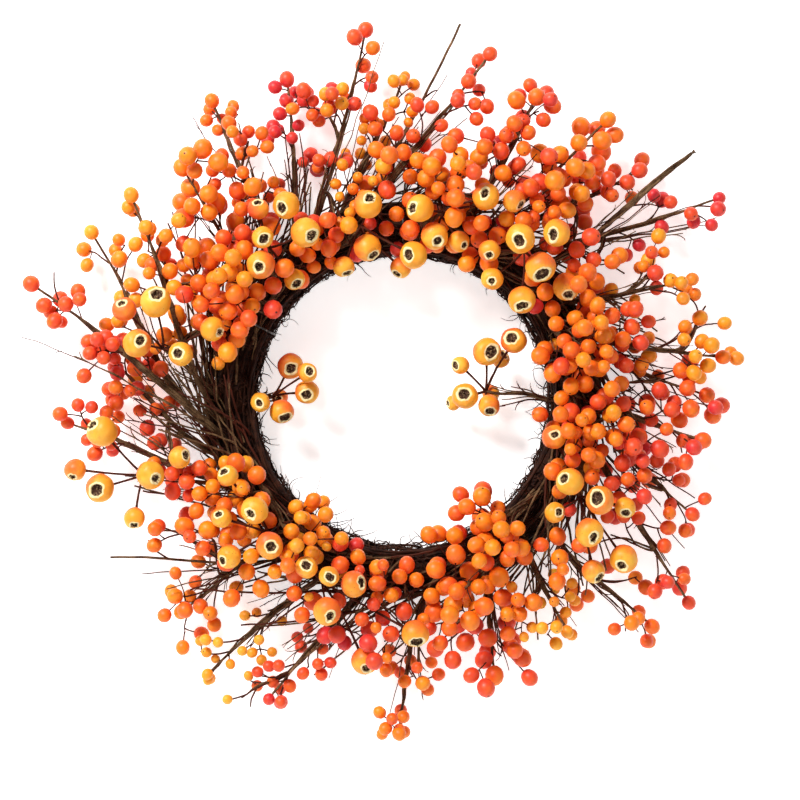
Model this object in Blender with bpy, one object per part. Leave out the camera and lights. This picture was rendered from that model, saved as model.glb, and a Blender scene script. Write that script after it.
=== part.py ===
"""Harvest door wreath: berry sprays and crab-apple picks pushed into a bound ring of twigs.

Metres, +Z up. The wreath hangs against a door whose face is the plane y = 0, and its front
looks along -Y. The origin is the point of the door face where the hook stands, under the top
wire of the hanging loop. Clock hours are read from the front, with 12 at the top.
"""

import math
import random
from dataclasses import dataclass

import bmesh
import bpy
import numpy as np
from mathutils import Matrix, Vector

# The twig ring.
RING_RADIUS = 0.134  # to the centre line of the twig bundle
BUNDLE_HALF_WIDTH = 0.0185
BUNDLE_BACK_DEPTH = 0.012  # from the flat back to the bundle's widest line
BUNDLE_FRONT_DEPTH = 0.020  # from there to its front
FLAT_BACK_SHARE = 0.7  # of the half width
RING_STEPS = 32
CHORD_SAG = 0.0007  # a strand's chords cut this far inside its circle, and more

# Thinner strands of twig that run round the bundle, between the lanes the picks come out of.
STRAND_RADIUS = 0.0028
STRAND_LANES = (-16, 33, 80, 127)
STRAND_WANDER = 3.0  # degrees to each side

# Tie wires, the hanger's eye and its loop.
TIE_RADIUS = 0.0008
TIE_HOURS = (2.5, 5.0, 7.5, 9.9)
TIE_SINK = 0.0014  # depth of the tie's centre under the flat back
TIE_CORNERS = 10  # points the wire bends at on its way round one strand
EYE_RADIUS = 0.0036
LOOP_WIRE_RADIUS = 0.0010
LOOP_HALF_WIDTH = 0.012
LOOP_HEIGHT = 0.040
LOOP_LEAN = math.radians(3.0)  # towards the front, against the stop
LOOP_SWING = math.radians(110.0)

# Picks.
STEM_RADIUS = 0.0013
SHOOT_RADIUS = 0.0009
STEM_TAPER = 0.65  # the tip's share of the root's radius
ROOT_SHARE = 0.35  # how far out from the bundle's middle a stem starts
SOCKET_EXTRA = 0.0010  # room beyond a stem's end in its socket
SOCKET_GAP = 0.0005
SOCKET_REACH = 0.030  # length of stem that the socket cutter follows
DOOR_GAP = 0.0015
FRONT_REACH = 0.104  # no berry stands further off the door
GAP = 0.0003
STEM_GAP = 0.0007
STEM_POINTS = 6
STEM_SIDES = 3
SHOOT_START = 0.34  # share of the stem where its first shoot may fork off
SHOOT_END = 0.95
SEED = 41

FRUIT_TONES = {
    "crimson": (0.72, 0.05, 0.07),
    "coral": (0.85, 0.16, 0.05),
    "orange": (0.90, 0.24, 0.03),
    "amber": (0.93, 0.38, 0.04),
    "gold": (0.92, 0.50, 0.05),
}
BARK = (0.09, 0.045, 0.025)
DARK_TWIG = (0.035, 0.020, 0.013)
WIRE = (0.10, 0.09, 0.08)


@dataclass(frozen=True)
class Spray:
    """A wired stem with small berries.

    Root is the clock hour it leaves the bundle at, and lane where round the section. Tip is its
    clock hour, its distance out from the ring's centre line and its depth off the door.
    """

    name: str
    root: float
    lane: float
    tip: tuple
    berries: int
    size: float
    tone: str
    shoots: int = 2
    spread: float = 0.022
    bow: float = 0.35


@dataclass(frozen=True)
class ApplePick:
    """A wired stem with crab apples on stalks.

    Fork is placed as a spray's tip is, and so is each fruit, with its own radius after that.
    """

    name: str
    root: float
    lane: float
    fork: tuple
    fruits: tuple
    tone: str = "gold"


SPRAYS = (
    Spray("berry_spray_01", 10.95, 57, (11.80, 0.156, 0.040), 9, 0.0062, "coral", 3, 0.019),
    Spray("berry_spray_02", 10.75, 8, (11.33, 0.132, 0.030), 7, 0.0058, "crimson", 3, 0.017),
    Spray("berry_spray_03", 10.35, 57, (10.91, 0.142, 0.040), 8, 0.0056, "orange", 4, 0.025),
    Spray("berry_spray_04", 10.00, 57, (10.54, 0.112, 0.066), 9, 0.0078, "orange", 3, 0.027),
    Spray("berry_spray_05", 8.75, 57, (10.22, 0.128, 0.058), 10, 0.0064, "amber", 4, 0.029, 0.1),
    Spray("berry_spray_06", 8.55, 8, (9.93, 0.142, 0.036), 10, 0.0062, "amber", 4, 0.031, 0.1),
    Spray("berry_spray_07", 8.60, 57, (9.57, 0.168, 0.034), 10, 0.0064, "coral", 4, 0.023),
    Spray("berry_spray_08", 8.30, 8, (9.27, 0.104, 0.026), 8, 0.0062, "coral", 3, 0.021),
    Spray("berry_spray_09", 9.75, 102, (10.20, 0.030, 0.066), 12, 0.0074, "orange", 5, 0.032),
    Spray("berry_spray_10", 11.40, 57, (0.46, 0.142, 0.046), 9, 0.0060, "coral", 4, 0.027, 0.1),
    Spray("berry_spray_11", 11.25, 8, (11.99, 0.116, 0.034), 9, 0.0048, "amber", 4, 0.025),
    Spray("berry_spray_12", 0.15, 57, (0.79, 0.120, 0.048), 10, 0.0068, "coral", 4, 0.025),
    Spray("berry_spray_13", 11.80, 57, (0.50, 0.050, 0.066), 12, 0.0072, "orange", 5, 0.032),
    Spray("berry_spray_14", 0.70, 57, (1.20, 0.134, 0.058), 10, 0.0076, "orange", 4, 0.025),
    Spray("berry_spray_15", 0.90, 8, (1.52, 0.122, 0.038), 9, 0.0062, "coral", 4, 0.025),
    Spray("berry_spray_16", 1.22, 8, (1.91, 0.159, 0.034), 9, 0.0060, "crimson", 3, 0.019),
    Spray("berry_spray_17", 1.80, 57, (2.24, 0.109, 0.046), 8, 0.0058, "amber", 4, 0.027),
    Spray("berry_spray_18", 2.15, 57, (2.74, 0.116, 0.048), 10, 0.0062, "amber", 4, 0.029),
    Spray("berry_spray_19", 2.40, 8, (2.96, 0.102, 0.036), 10, 0.0066, "coral", 4, 0.027),
    Spray("berry_spray_20", 1.98, 102, (2.44, 0.014, 0.066), 12, 0.0068, "orange", 5, 0.032),
    Spray("berry_spray_21", 2.65, 102, (3.30, 0.012, 0.064), 12, 0.0062, "orange", 5, 0.032),
    Spray("berry_spray_22", 2.82, 57, (3.25, 0.100, 0.044), 10, 0.0068, "coral", 4, 0.029),
    Spray("berry_spray_23", 3.12, 8, (3.71, 0.108, 0.038), 10, 0.0062, "coral", 4, 0.025),
    Spray("berry_spray_24", 3.40, 57, (4.17, 0.138, 0.034), 10, 0.0062, "coral", 4, 0.027, 0.1),
    Spray("berry_spray_25", 4.25, 8, (4.41, 0.128, 0.034), 7, 0.0058, "orange", 4, 0.029),
    Spray("berry_spray_26", 4.50, 57, (4.82, 0.086, 0.046), 9, 0.0050, "gold", 4, 0.024),
    Spray("berry_spray_27", 4.05, 102, (4.95, -0.008, 0.066), 12, 0.0072, "orange", 5, 0.032),
    Spray("berry_spray_28", 4.70, 57, (5.50, 0.028, 0.062), 12, 0.0074, "orange", 5, 0.032),
    Spray("berry_spray_29", 5.00, 8, (5.38, 0.090, 0.044), 10, 0.0072, "coral", 3, 0.027),
    Spray("berry_spray_30", 5.65, 8, (6.02, 0.124, 0.032), 8, 0.0056, "orange", 3, 0.023),
    Spray("berry_spray_31", 8.00, 8, (8.86, 0.129, 0.030), 9, 0.0058, "coral", 3, 0.021),
    Spray("berry_spray_32", 7.26, 8, (7.54, 0.106, 0.030), 9, 0.0062, "orange", 4, 0.029),
    Spray("berry_spray_33", 8.10, 102, (7.25, 0.008, 0.064), 12, 0.0064, "amber", 5, 0.032, 0.0),
    Spray("berry_spray_34", 6.70, 8, (7.18, 0.130, 0.028), 10, 0.0046, "gold", 4, 0.030),
    Spray("berry_spray_35", 6.25, 8, (6.80, 0.122, 0.034), 10, 0.0052, "coral", 4, 0.027),
)

APPLE_PICKS = (
    ApplePick("apple_pick_01", 10.20, 102, (10.62, 0.024, 0.066), (
        (10.97, 0.042, 0.082, 0.0108), (10.76, 0.052, 0.078, 0.0084), (10.64, 0.032, 0.090, 0.0086),
        (10.99, 0.016, 0.088, 0.0116), (10.47, 0.020, 0.084, 0.0112), (10.60, -0.007, 0.062, 0.0084))),
    ApplePick("apple_pick_02", 11.10, 102, (11.55, 0.006, 0.062), (
        (11.66, 0.020, 0.078, 0.0112), (11.56, -0.012, 0.066, 0.0108), (11.20, -0.020, 0.060, 0.0084),
        (0.14, -0.021, 0.072, 0.0108), (0.12, -0.043, 0.058, 0.0084))),
    ApplePick("apple_pick_03", 11.85, 102, (0.40, 0.016, 0.062), (
        (0.17, 0.015, 0.084, 0.0108), (0.36, -0.004, 0.074, 0.0108), (0.62, -0.003, 0.068, 0.0084),
        (0.74, 0.036, 0.082, 0.0108), (0.97, 0.043, 0.074, 0.0088))),
    ApplePick("apple_pick_04", 0.80, 102, (1.30, 0.016, 0.062), (
        (1.00, 0.000, 0.078, 0.0086), (1.21, -0.017, 0.072, 0.0088), (1.20, 0.020, 0.094, 0.0116),
        (1.42, 0.042, 0.084, 0.0108), (1.53, 0.014, 0.086, 0.0120), (1.66, -0.013, 0.070, 0.0108),
        (1.84, 0.021, 0.066, 0.0108))),
    ApplePick("apple_pick_05", 8.90, 57, (9.40, 0.058, 0.056), (
        (9.72, 0.072, 0.084, 0.0122), (9.60, 0.094, 0.072, 0.0096), (9.40, 0.077, 0.080, 0.0112),
        (9.39, 0.042, 0.078, 0.0096), (9.68, 0.024, 0.078, 0.0096))),
    ApplePick("apple_pick_06", 7.90, 57, (8.46, 0.078, 0.046), (
        (8.80, 0.102, 0.066, 0.0120), (8.60, 0.129, 0.050, 0.0088), (8.46, 0.112, 0.066, 0.0114),
        (8.45, 0.071, 0.074, 0.0112), (8.52, 0.046, 0.066, 0.0088), (8.21, 0.096, 0.052, 0.0084))),
    ApplePick("apple_pick_07", 9.10, 160, (9.05, -0.031, 0.028), (
        (9.56, -0.041, 0.034, 0.0104), (9.16, -0.058, 0.036, 0.0096), (8.82, -0.038, 0.040, 0.0096),
        (9.53, -0.056, 0.052, 0.0078), (8.97, -0.022, 0.048, 0.0078), (9.04, -0.036, 0.024, 0.0066))),
    ApplePick("apple_pick_08", 3.10, 160, (2.80, -0.068, 0.026), (
        (2.06, -0.035, 0.040, 0.0104), (2.00, -0.058, 0.042, 0.0112), (1.96, -0.081, 0.034, 0.0072),
        (2.88, -0.085, 0.038, 0.0104), (3.12, -0.066, 0.036, 0.0088), (2.24, -0.050, 0.022, 0.0072),
        (2.86, -0.064, 0.018, 0.0070), (3.11, -0.094, 0.024, 0.0062))),
    ApplePick("apple_pick_09", 7.10, 102, (7.50, 0.014, 0.060), (
        (8.22, 0.014, 0.080, 0.0082), (7.78, 0.009, 0.086, 0.0108), (7.90, 0.034, 0.078, 0.0080),
        (7.42, 0.019, 0.082, 0.0108), (7.60, 0.048, 0.070, 0.0096))),
    ApplePick("apple_pick_10", 6.20, 57, (6.80, 0.022, 0.056), (
        (7.00, 0.016, 0.078, 0.0088), (6.76, 0.014, 0.084, 0.0080), (6.50, 0.014, 0.078, 0.0104),
        (6.66, 0.040, 0.080, 0.0112), (5.90, 0.048, 0.070, 0.0108), (6.28, 0.072, 0.058, 0.0108))),
    ApplePick("apple_pick_11", 3.30, 57, (3.95, 0.024, 0.058), (
        (3.46, -0.013, 0.070, 0.0096), (3.87, 0.010, 0.084, 0.0108), (3.90, 0.037, 0.086, 0.0112),
        (3.86, 0.058, 0.072, 0.0084), (4.18, 0.043, 0.082, 0.0112), (4.22, 0.013, 0.070, 0.0082),
        (4.19, 0.078, 0.066, 0.0112), (4.40, 0.066, 0.060, 0.0092))),
)

BARE_TWIGS = (
    Spray("bare_twig_top", 11.50, 8, (0.29, 0.166, 0.036), 0, 0.0, "amber", 1, 0.020, 0.1),
    Spray("bare_twig_right", 1.30, 57, (1.65, 0.164, 0.054), 0, 0.0, "amber", 1, 0.026, 0.0),
    Spray("bare_twig_left", 7.05, 8, (8.06, 0.128, 0.040), 0, 0.0, "amber", 1, 0.030, 0.1),
)


# ---------------------------------------------------------------- the frame of the wreath
def section(lane, share=1.0, beyond=0.0):
    """A point of the bundle's section, as (out from its centre line, depth off the door).

    Lane 0 is the outer side, 90 the front, 180 the inner side.
    """
    angle = math.radians(lane)
    across = (BUNDLE_HALF_WIDTH * share + beyond) * math.cos(angle)
    rise = (BUNDLE_FRONT_DEPTH * share + beyond) * math.sin(angle)
    if rise < 0:
        rise *= BUNDLE_BACK_DEPTH / BUNDLE_FRONT_DEPTH
    return across, BUNDLE_BACK_DEPTH + rise


def strand_section(lane, hour):
    """Where a strand's centre stands in the bundle's section at a clock hour."""
    wander = STRAND_WANDER * math.sin(3 * math.radians(30 * hour) + lane)
    return section(lane + wander, 1.0, STRAND_RADIUS + CHORD_SAG + 2 * GAP)


def tie_section(hour):
    """The taut way round the bundle and its strands, sunk a little into the flat back."""
    reach = STRAND_RADIUS + TIE_RADIUS + 2 * GAP
    points = [section(lane, 1.0, TIE_RADIUS + 2 * GAP) for lane in range(-5, 200, 12)]
    for lane in STRAND_LANES:
        across, depth = strand_section(lane, hour)
        for i in range(TIE_CORNERS):
            turn = 2 * math.pi * i / TIE_CORNERS
            points.append((across + reach * math.cos(turn), depth + reach * math.sin(turn)))
    flat = FLAT_BACK_SHARE * BUNDLE_HALF_WIDTH
    return hull([*points, (-flat, TIE_SINK), (flat, TIE_SINK)])


def hull(points):
    """The convex outline of flat points, anticlockwise."""
    ordered = sorted(set(points))
    halves = []
    for run in (ordered, ordered[::-1]):
        half = []
        for point in run:
            while len(half) > 1 and turn_of(half[-2], half[-1], point) <= 1e-9:
                half.pop()
            half.append(point)
        halves += half[:-1]
    return halves


def turn_of(a, b, c):
    """Twice the area of the triangle a, b, c, positive if it turns left."""
    return (b[0] - a[0]) * (c[1] - a[1]) - (b[1] - a[1]) * (c[0] - a[0])


def tie_top():
    """How far out the 12 o'clock tie stands at the depth of the bundle's widest line."""
    outline = tie_section(12.0)
    found = 0.0
    for (x0, d0), (x1, d1) in zip(outline, outline[1:] + outline[:1]):
        if (d0 - BUNDLE_BACK_DEPTH) * (d1 - BUNDLE_BACK_DEPTH) <= 0 and d0 != d1:
            found = max(found, x0 + (x1 - x0) * (BUNDLE_BACK_DEPTH - d0) / (d1 - d0))
    return found


def eye_height():
    """Height of the hanger eye's centre above the ring's centre."""
    return RING_RADIUS + tie_top() + EYE_RADIUS


def bar_height():
    """Height of the loop's bottom bar above the ring's centre: it hangs in the eye's top."""
    return eye_height() + EYE_RADIUS - TIE_RADIUS - LOOP_WIRE_RADIUS - GAP


def ring_centre_height():
    """Z of the ring's centre, so that the hook stands at the origin."""
    return -(bar_height() + LOOP_HEIGHT * math.cos(LOOP_LEAN) - LOOP_WIRE_RADIUS)


def outward(hour):
    """Unit vector from the ring's centre towards a clock hour."""
    angle = math.radians(30 * hour)
    return Vector((math.sin(angle), 0, math.cos(angle)))


def clockwise(hour):
    """Unit vector along the ring, clockwise as seen from the front."""
    angle = math.radians(30 * hour)
    return Vector((math.cos(angle), 0, -math.sin(angle)))


def place(hour, radius, depth):
    """The point at a clock hour, a distance from the ring's centre and a depth off the door."""
    return outward(hour) * radius + Vector((0, -depth, ring_centre_height()))


def section_point(hour, lane, share=1.0, beyond=0.0):
    """A point of the bundle's section at a clock hour."""
    across, depth = section(lane, share, beyond)
    return place(hour, RING_RADIUS + across, depth)


def section_normal(hour, lane):
    """Unit vector out of the bundle's section at a lane."""
    angle = math.radians(lane)
    return outward(hour) * math.cos(angle) + Vector((0, -math.sin(angle), 0))


def bezier(a, b, c, d, count):
    """Points of a cubic Bezier curve."""
    steps = [i / (count - 1) for i in range(count)]
    return [a * (1 - t) ** 3 + b * 3 * t * (1 - t) ** 2 + c * 3 * t * t * (1 - t) + d * t**3 for t in steps]


# ---------------------------------------------------------------- keeping pieces apart
class Clearance:
    """The stems and berries placed so far, as capsules that the next piece is kept off."""

    def __init__(self):
        self.starts = np.zeros((0, 3))
        self.ends = np.zeros((0, 3))
        self.radii = np.zeros(0)
        self.owners = np.zeros(0, int)
        self.berry = np.zeros(0, bool)

    def add(self, points, radius, owner, berry=False):
        """Adds a line of capsules, or one ball."""
        points = np.array([tuple(p) for p in points], float)
        starts, ends = (points, points) if len(points) == 1 else (points[:-1], points[1:])
        self.starts = np.vstack([self.starts, starts])
        self.ends = np.vstack([self.ends, ends])
        self.radii = np.append(self.radii, np.full(len(starts), radius))
        self.owners = np.append(self.owners, np.full(len(starts), owner))
        self.berry = np.append(self.berry, np.full(len(starts), berry))

    def distances(self, start, end):
        """Distance from the segment start-end to the axis of each capsule."""
        along = end - start
        others = self.ends - self.starts
        offset = start - self.starts
        aa = along @ along
        ee = np.maximum((others * others).sum(1), 1e-18)
        ff = (others * offset).sum(1)
        cc = offset @ along
        bb = others @ along
        denominator = aa * ee - bb * bb
        s = np.where(denominator > 1e-16, (bb * ff - cc * ee) / np.maximum(denominator, 1e-16), 0)
        s = np.clip(s, 0, 1)
        t = np.clip((bb * s + ff) / ee, 0, 1)
        if aa > 1e-18:
            s = np.clip((bb * t - cc) / aa, 0, 1)
        gaps = offset + s[:, None] * along - t[:, None] * others
        return np.sqrt((gaps * gaps).sum(1))

    def is_clear(self, points, radius, gap, owner=None, own_stem_share=None):
        """Whether a line or ball keeps its gap. A berry may sit close on its own stem."""
        points = np.array([tuple(p) for p in points], float)
        if len(points) == 1:
            points = np.vstack([points, points])
        for start, end in zip(points[:-1], points[1:]):
            room = self.distances(start, end) - self.radii - radius - gap
            if owner is not None:
                own_stems = (self.owners == owner) & ~self.berry
                room[own_stems] = 1.0
                if own_stem_share is not None:
                    axis = self.distances(start, end)[own_stems]
                    if (axis < own_stem_share * radius).any():
                        return False
            if (room < 0).any():
                return False
        return True


# ---------------------------------------------------------------- growing the picks
@dataclass
class Grown:
    """What grew for one pick: its lines as (points, radius), and its berries."""

    pick: object
    lines: list
    fruits: list


@dataclass(frozen=True)
class Fruit:
    """A berry or crab apple: its centre, radius, and the way its stalk comes in."""

    centre: Vector
    radius: float
    stalk: Vector


class Grower:
    """Grows every pick in order, from one seed, clear of the ring and of each other."""

    def __init__(self):
        self.dice = random.Random(SEED)
        self.room = Clearance()
        self.grown = []

    def add_ring(self):
        """Keeps the picks off the bundle, its strands and ties, and the swinging loop."""
        middle = (BUNDLE_BACK_DEPTH + BUNDLE_FRONT_DEPTH) / 2
        self.bundle_width = max(BUNDLE_HALF_WIDTH, middle) + 0.0015
        for lane in STRAND_LANES:
            line = strand_line(lane)
            self.room.add([*line, line[0]], STRAND_RADIUS, -2)
        for hour in (*TIE_HOURS, 12.0):
            line = tie_line(hour)
            self.room.add([*line, line[0]], TIE_RADIUS, -2)
        for step in range(12):
            line = loop_line(LOOP_SWING * step / 11)
            self.room.add([*line, line[0]], LOOP_WIRE_RADIUS + GAP, -3)
        bar = place(0, bar_height(), BUNDLE_BACK_DEPTH)
        for across in (-0.5, 0.0, 0.5):
            foot = bar + Vector((across * LOOP_HALF_WIDTH, 0, LOOP_HALF_WIDTH * 0.4))
            head = bar + Vector((across * LOOP_HALF_WIDTH, 0, LOOP_HEIGHT - LOOP_HALF_WIDTH * 0.3))
            self.room.add([foot, head], LOOP_HALF_WIDTH * 0.4, -3)
        eye = place(0, eye_height(), BUNDLE_BACK_DEPTH)
        self.room.add([eye], EYE_RADIUS + TIE_RADIUS, -3)

    def stem_line(self, pick, goal, effort):
        """A stem from its socket in the bundle, swept clockwise, to its goal."""
        wobble = [self.dice.uniform(-1, 1) * min(effort, 12) for _ in range(4)]
        root = pick.root + 0.035 * wobble[0]
        lane = pick.lane + 0.5 * wobble[1]
        start = section_point(root, lane, ROOT_SHARE)
        goal = goal + Vector((0, -0.0022 * wobble[2], 0))
        goal.y = min(goal.y, -0.012)
        reach = (goal - start).length
        way = 1 if ((pick_hour(pick) - root + 6) % 12) - 6 >= 0 else -1
        lift = 0.016 + 0.20 * reach + 0.0008 * abs(wobble[3])
        leave = section_normal(root, lane) * lift + clockwise(root) * (way * 0.24 * reach)
        bow = getattr(pick, "bow", 0.2)
        arrive = (goal - start).normalized() + outward(pick_hour(pick)) * bow
        return bezier(start, start + leave, goal - arrive.normalized() * (0.30 * reach), goal, STEM_POINTS)

    def grow_stem(self, pick, goal, owner):
        """The first stem that keeps clear of everything placed before it."""
        for effort in range(60):
            line = self.stem_line(pick, goal, effort)
            outside = [p for p in line if not self.in_bundle(p)]
            if len(outside) < 3 or max(p.y for p in line) > -DOOR_GAP - STEM_RADIUS:
                continue
            first = line.index(outside[0])
            if any(self.in_bundle(p) for p in line[first + 1 :]):
                continue
            if self.room.is_clear(line, STEM_RADIUS, STEM_GAP):
                self.room.add(line, STEM_RADIUS, owner)
                return line
        return None

    def in_bundle(self, point):
        """Whether a point lies in the bundle's section, or just outside it."""
        flat = Vector((point.x, 0, point.z - ring_centre_height()))
        across = flat.length - RING_RADIUS
        middle = (BUNDLE_BACK_DEPTH + BUNDLE_FRONT_DEPTH) / 2
        return math.hypot(across, -point.y - middle) < self.bundle_width

    def grow_shoot(self, owner, line, radius, length, turn, at):
        """A side shoot that forks off a stem at a share, bent a little towards the stem's own way."""
        base = point_on(line, at)
        ahead = (point_on(line, min(at + 0.1, 1.0)) - point_on(line, at - 0.1)).normalized()
        for effort in range(14):
            side = around(ahead, turn + self.dice.uniform(-0.5, 0.5) * (1 + effort / 4))
            way = (ahead * 0.75 + side * 0.75).normalized()
            end = base + way * length * self.dice.uniform(0.75, 1.1)
            middle = (base + end) / 2 + ahead * (0.10 * length)
            shoot = [base, middle, end]
            if not -FRONT_REACH + 0.008 < end.y < -DOOR_GAP - 0.006 or self.in_bundle(end):
                continue
            if self.room.is_clear(shoot, radius, STEM_GAP, owner):
                self.room.add(shoot, radius, owner)
                return shoot
        return None

    def grow_berry(self, owner, host, at, size, pedicel):
        """A berry on a short stalk, somewhere round its host stem. None if there is no room."""
        radius = size * self.dice.uniform(0.88, 1.10)
        base = point_on(host, at)
        ahead = (point_on(host, min(at + 0.08, 1.0)) - point_on(host, at - 0.08)).normalized()
        turn = self.dice.uniform(0, 2 * math.pi)
        if at == 1.0:
            centre = base + ahead * radius * 0.6
            if self.fits(centre, radius, owner):
                self.room.add([centre], radius, owner, berry=True)
                return Fruit(centre, radius, ahead), None
        for effort in range(16):
            turn += 2.4
            side = around(ahead, turn)
            lean = 0.95 if at > 0.96 else 0.35
            way = (ahead * lean + side * (1 - 0.6 * lean) + Vector((0, -0.25, 0))).normalized()
            stalk = radius * 0.55 + pedicel * self.dice.uniform(0.1, 1.0) * (1 + effort / 20)
            centre = base + way * (stalk + radius * 0.4)
            if not self.fits(centre, radius, owner):
                continue
            if not self.room.is_clear([base, centre - way * radius * 0.5], SHOOT_RADIUS, GAP, owner):
                continue
            self.room.add([centre], radius, owner, berry=True)
            self.room.add([base, centre], SHOOT_RADIUS, owner)
            return Fruit(centre, radius, way), base
        return None

    def fits(self, centre, radius, owner):
        """Whether there is room for a berry, off the door, the bundle and everything placed."""
        if not -FRONT_REACH + radius < centre.y < -DOOR_GAP - radius:
            return False
        if self.near_bundle(centre, radius):
            return False
        return self.room.is_clear([centre], radius, GAP, owner, own_stem_share=0.35)

    def near_bundle(self, centre, radius):
        """Whether a berry would cut into the twig bundle."""
        flat = Vector((centre.x, 0, centre.z - ring_centre_height()))
        across = flat.length - RING_RADIUS
        middle = (BUNDLE_BACK_DEPTH + BUNDLE_FRONT_DEPTH) / 2
        return math.hypot(across, -centre.y - middle) < self.bundle_width + radius + GAP

    def grow_spray(self, spray, line, owner):
        """The shoots and berries of one spray, on its own stem."""
        lines = [(line, STEM_RADIUS)]
        for index in range(spray.shoots):
            share = (index + self.dice.uniform(0.1, 0.9)) / spray.shoots
            at = SHOOT_START + (SHOOT_END - SHOOT_START) * share
            shoot = self.grow_shoot(owner, line, SHOOT_RADIUS, spray.spread, 2.4 * index + 0.8, at)
            if shoot:
                lines.append((shoot, SHOOT_RADIUS))
        fruits = []
        hosts = [points for points, _ in lines]
        for index in range(spray.berries):
            host = hosts[index % len(hosts)]
            step = 0.16 if host is line else 0.30
            at = max(1.0 - step * (index // len(hosts)), 0.25)
            fruit = self.grow_berry(owner, host, at, spray.size, spray.size * 1.3)
            if fruit:
                fruits.append(fruit)
        return Grown(spray, lines, fruits)

    def grow_apples(self, pick, line, owner):
        """The crab apples of one pick, each on its own stalk from the fork."""
        lines = [(line, STEM_RADIUS)]
        fruits = []
        for hour, reach, depth, size in pick.fruits:
            wanted = place(hour, RING_RADIUS + reach, depth)
            for effort in range(40):
                shake = Vector([self.dice.uniform(-1, 1) for _ in range(3)]) * (0.0005 * effort)
                centre = wanted + shake
                base = point_on(line, 1.0 - 0.012 * (effort % 12))
                way = (centre - base).normalized()
                if self.near_bundle(centre, size) or centre.y > -DOOR_GAP - size:
                    continue
                if not self.room.is_clear([centre], size, GAP, owner, own_stem_share=0.9):
                    continue
                inside = centre - way * size * 0.6
                if not self.room.is_clear([base, inside], SHOOT_RADIUS, GAP, owner):
                    continue
                self.room.add([centre], size, owner, berry=True)
                self.room.add([base, centre], SHOOT_RADIUS, owner)
                fruits.append((Fruit(centre, size, way), base))
                break
        return Grown(pick, lines, fruits)

    def grow_all(self):
        """Stems first, then crab apples, then berries, so that the big pieces find their place."""
        self.add_ring()
        picks = [*APPLE_PICKS, *BARE_TWIGS, *SPRAYS]
        lines = []
        for owner, pick in enumerate(picks):
            hour, reach, depth = pick.fork if isinstance(pick, ApplePick) else pick.tip
            goal = place(hour, RING_RADIUS + reach, depth)
            lines.append(self.grow_stem(pick, goal, owner))
        for owner, (pick, line) in enumerate(zip(picks, lines)):
            if line is None:
                print("no room for", pick.name)
                continue
            grow = self.grow_apples if isinstance(pick, ApplePick) else self.grow_spray
            self.grown.append(grow(pick, line, owner))
        return self.grown


def pick_hour(pick):
    """The clock hour that a pick reaches for."""
    return (pick.fork if isinstance(pick, ApplePick) else pick.tip)[0]


def point_on(line, at):
    """The point a share of the way along a line of points."""
    place_on = min(max(at, 0.0), 1.0) * (len(line) - 1)
    index = min(int(place_on), len(line) - 2)
    return line[index].lerp(line[index + 1], place_on - index)


def around(axis, turn):
    """A unit vector square to an axis, turned round it."""
    first = axis.cross(Vector((0.1, -1, 0.2))).normalized()
    second = axis.cross(first).normalized()
    return first * math.cos(turn) + second * math.sin(turn)


# ---------------------------------------------------------------- ring, strands, ties, loop
def strand_line(lane):
    """The closed line of one strand round the ring."""
    hours = [12 * i / RING_STEPS for i in range(RING_STEPS)]
    places = [strand_section(lane, hour) for hour in hours]
    return [place(hour, RING_RADIUS + across, depth) for hour, (across, depth) in zip(hours, places)]


def tie_line(hour):
    """The closed line of a tie wire at a clock hour."""
    return [place(hour, RING_RADIUS + across, depth) for across, depth in tie_section(hour)]


def loop_line(swing=0.0):
    """The closed line of the hanging loop, swung back from its rest by an angle."""
    arch = LOOP_HALF_WIDTH
    height = LOOP_HEIGHT - arch
    flat = [(-LOOP_HALF_WIDTH, 0.0), (LOOP_HALF_WIDTH, 0.0), (LOOP_HALF_WIDTH, height * 0.5)]
    for i in range(9):
        angle = math.pi * i / 8
        flat.append((arch * math.cos(angle), height + arch * math.sin(angle)))
    flat.append((-LOOP_HALF_WIDTH, height * 0.5))
    bar = place(0, bar_height(), BUNDLE_BACK_DEPTH)
    lean = LOOP_LEAN - swing
    return [bar + Vector((x, -h * math.sin(lean), h * math.cos(lean))) for x, h in flat]


# ---------------------------------------------------------------- Blender objects
def clear_scene():
    """Removes whatever the file opened with."""
    for obj in list(bpy.data.objects):
        bpy.data.objects.remove(obj, do_unlink=True)


def material(name, colour, roughness):
    """A Principled material with one colour."""
    made = bpy.data.materials.new(name)
    made.use_nodes = True
    shader = made.node_tree.nodes["Principled BSDF"]
    shader.inputs["Base Color"].default_value = (*colour, 1)
    shader.inputs["Roughness"].default_value = roughness
    return made


def tube_mesh(lines, sides=4, closed=False):
    """One mesh of tubes with flat sides. Each line is (points, radii), a radius for each point."""
    bm = bmesh.new()
    for points, radii in lines:
        add_tube(bm, points, radii, sides, closed)
    mesh = bpy.data.meshes.new("tubes")
    bm.to_mesh(mesh)
    bm.free()
    return mesh


def add_tube(bm, points, radii, sides, closed):
    """Adds one tube, its rings turned as little as the line lets them."""
    count = len(points)
    heading = (points[1] - points[0]).normalized()
    side = around(heading, 0.0)
    rings = []
    for i in range(count):
        before = points[i - 1] if closed or i else points[0]
        after = points[(i + 1) % count] if closed or i < count - 1 else points[i]
        tangent = (after - before).normalized()
        side = (side - tangent * side.dot(tangent)).normalized()
        other = tangent.cross(side)
        turns = [2 * math.pi * k / sides for k in range(sides)]
        ring = [points[i] + (side * math.cos(t) + other * math.sin(t)) * radii[i] for t in turns]
        rings.append([bm.verts.new(corner) for corner in ring])
    for i in range(count if closed else count - 1):
        near, far = rings[i], rings[(i + 1) % count]
        for k in range(sides):
            bm.faces.new((near[k], near[(k + 1) % sides], far[(k + 1) % sides], far[k]))
    if not closed:
        bm.faces.new(list(reversed(rings[0])))
        bm.faces.new(rings[-1])


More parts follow.
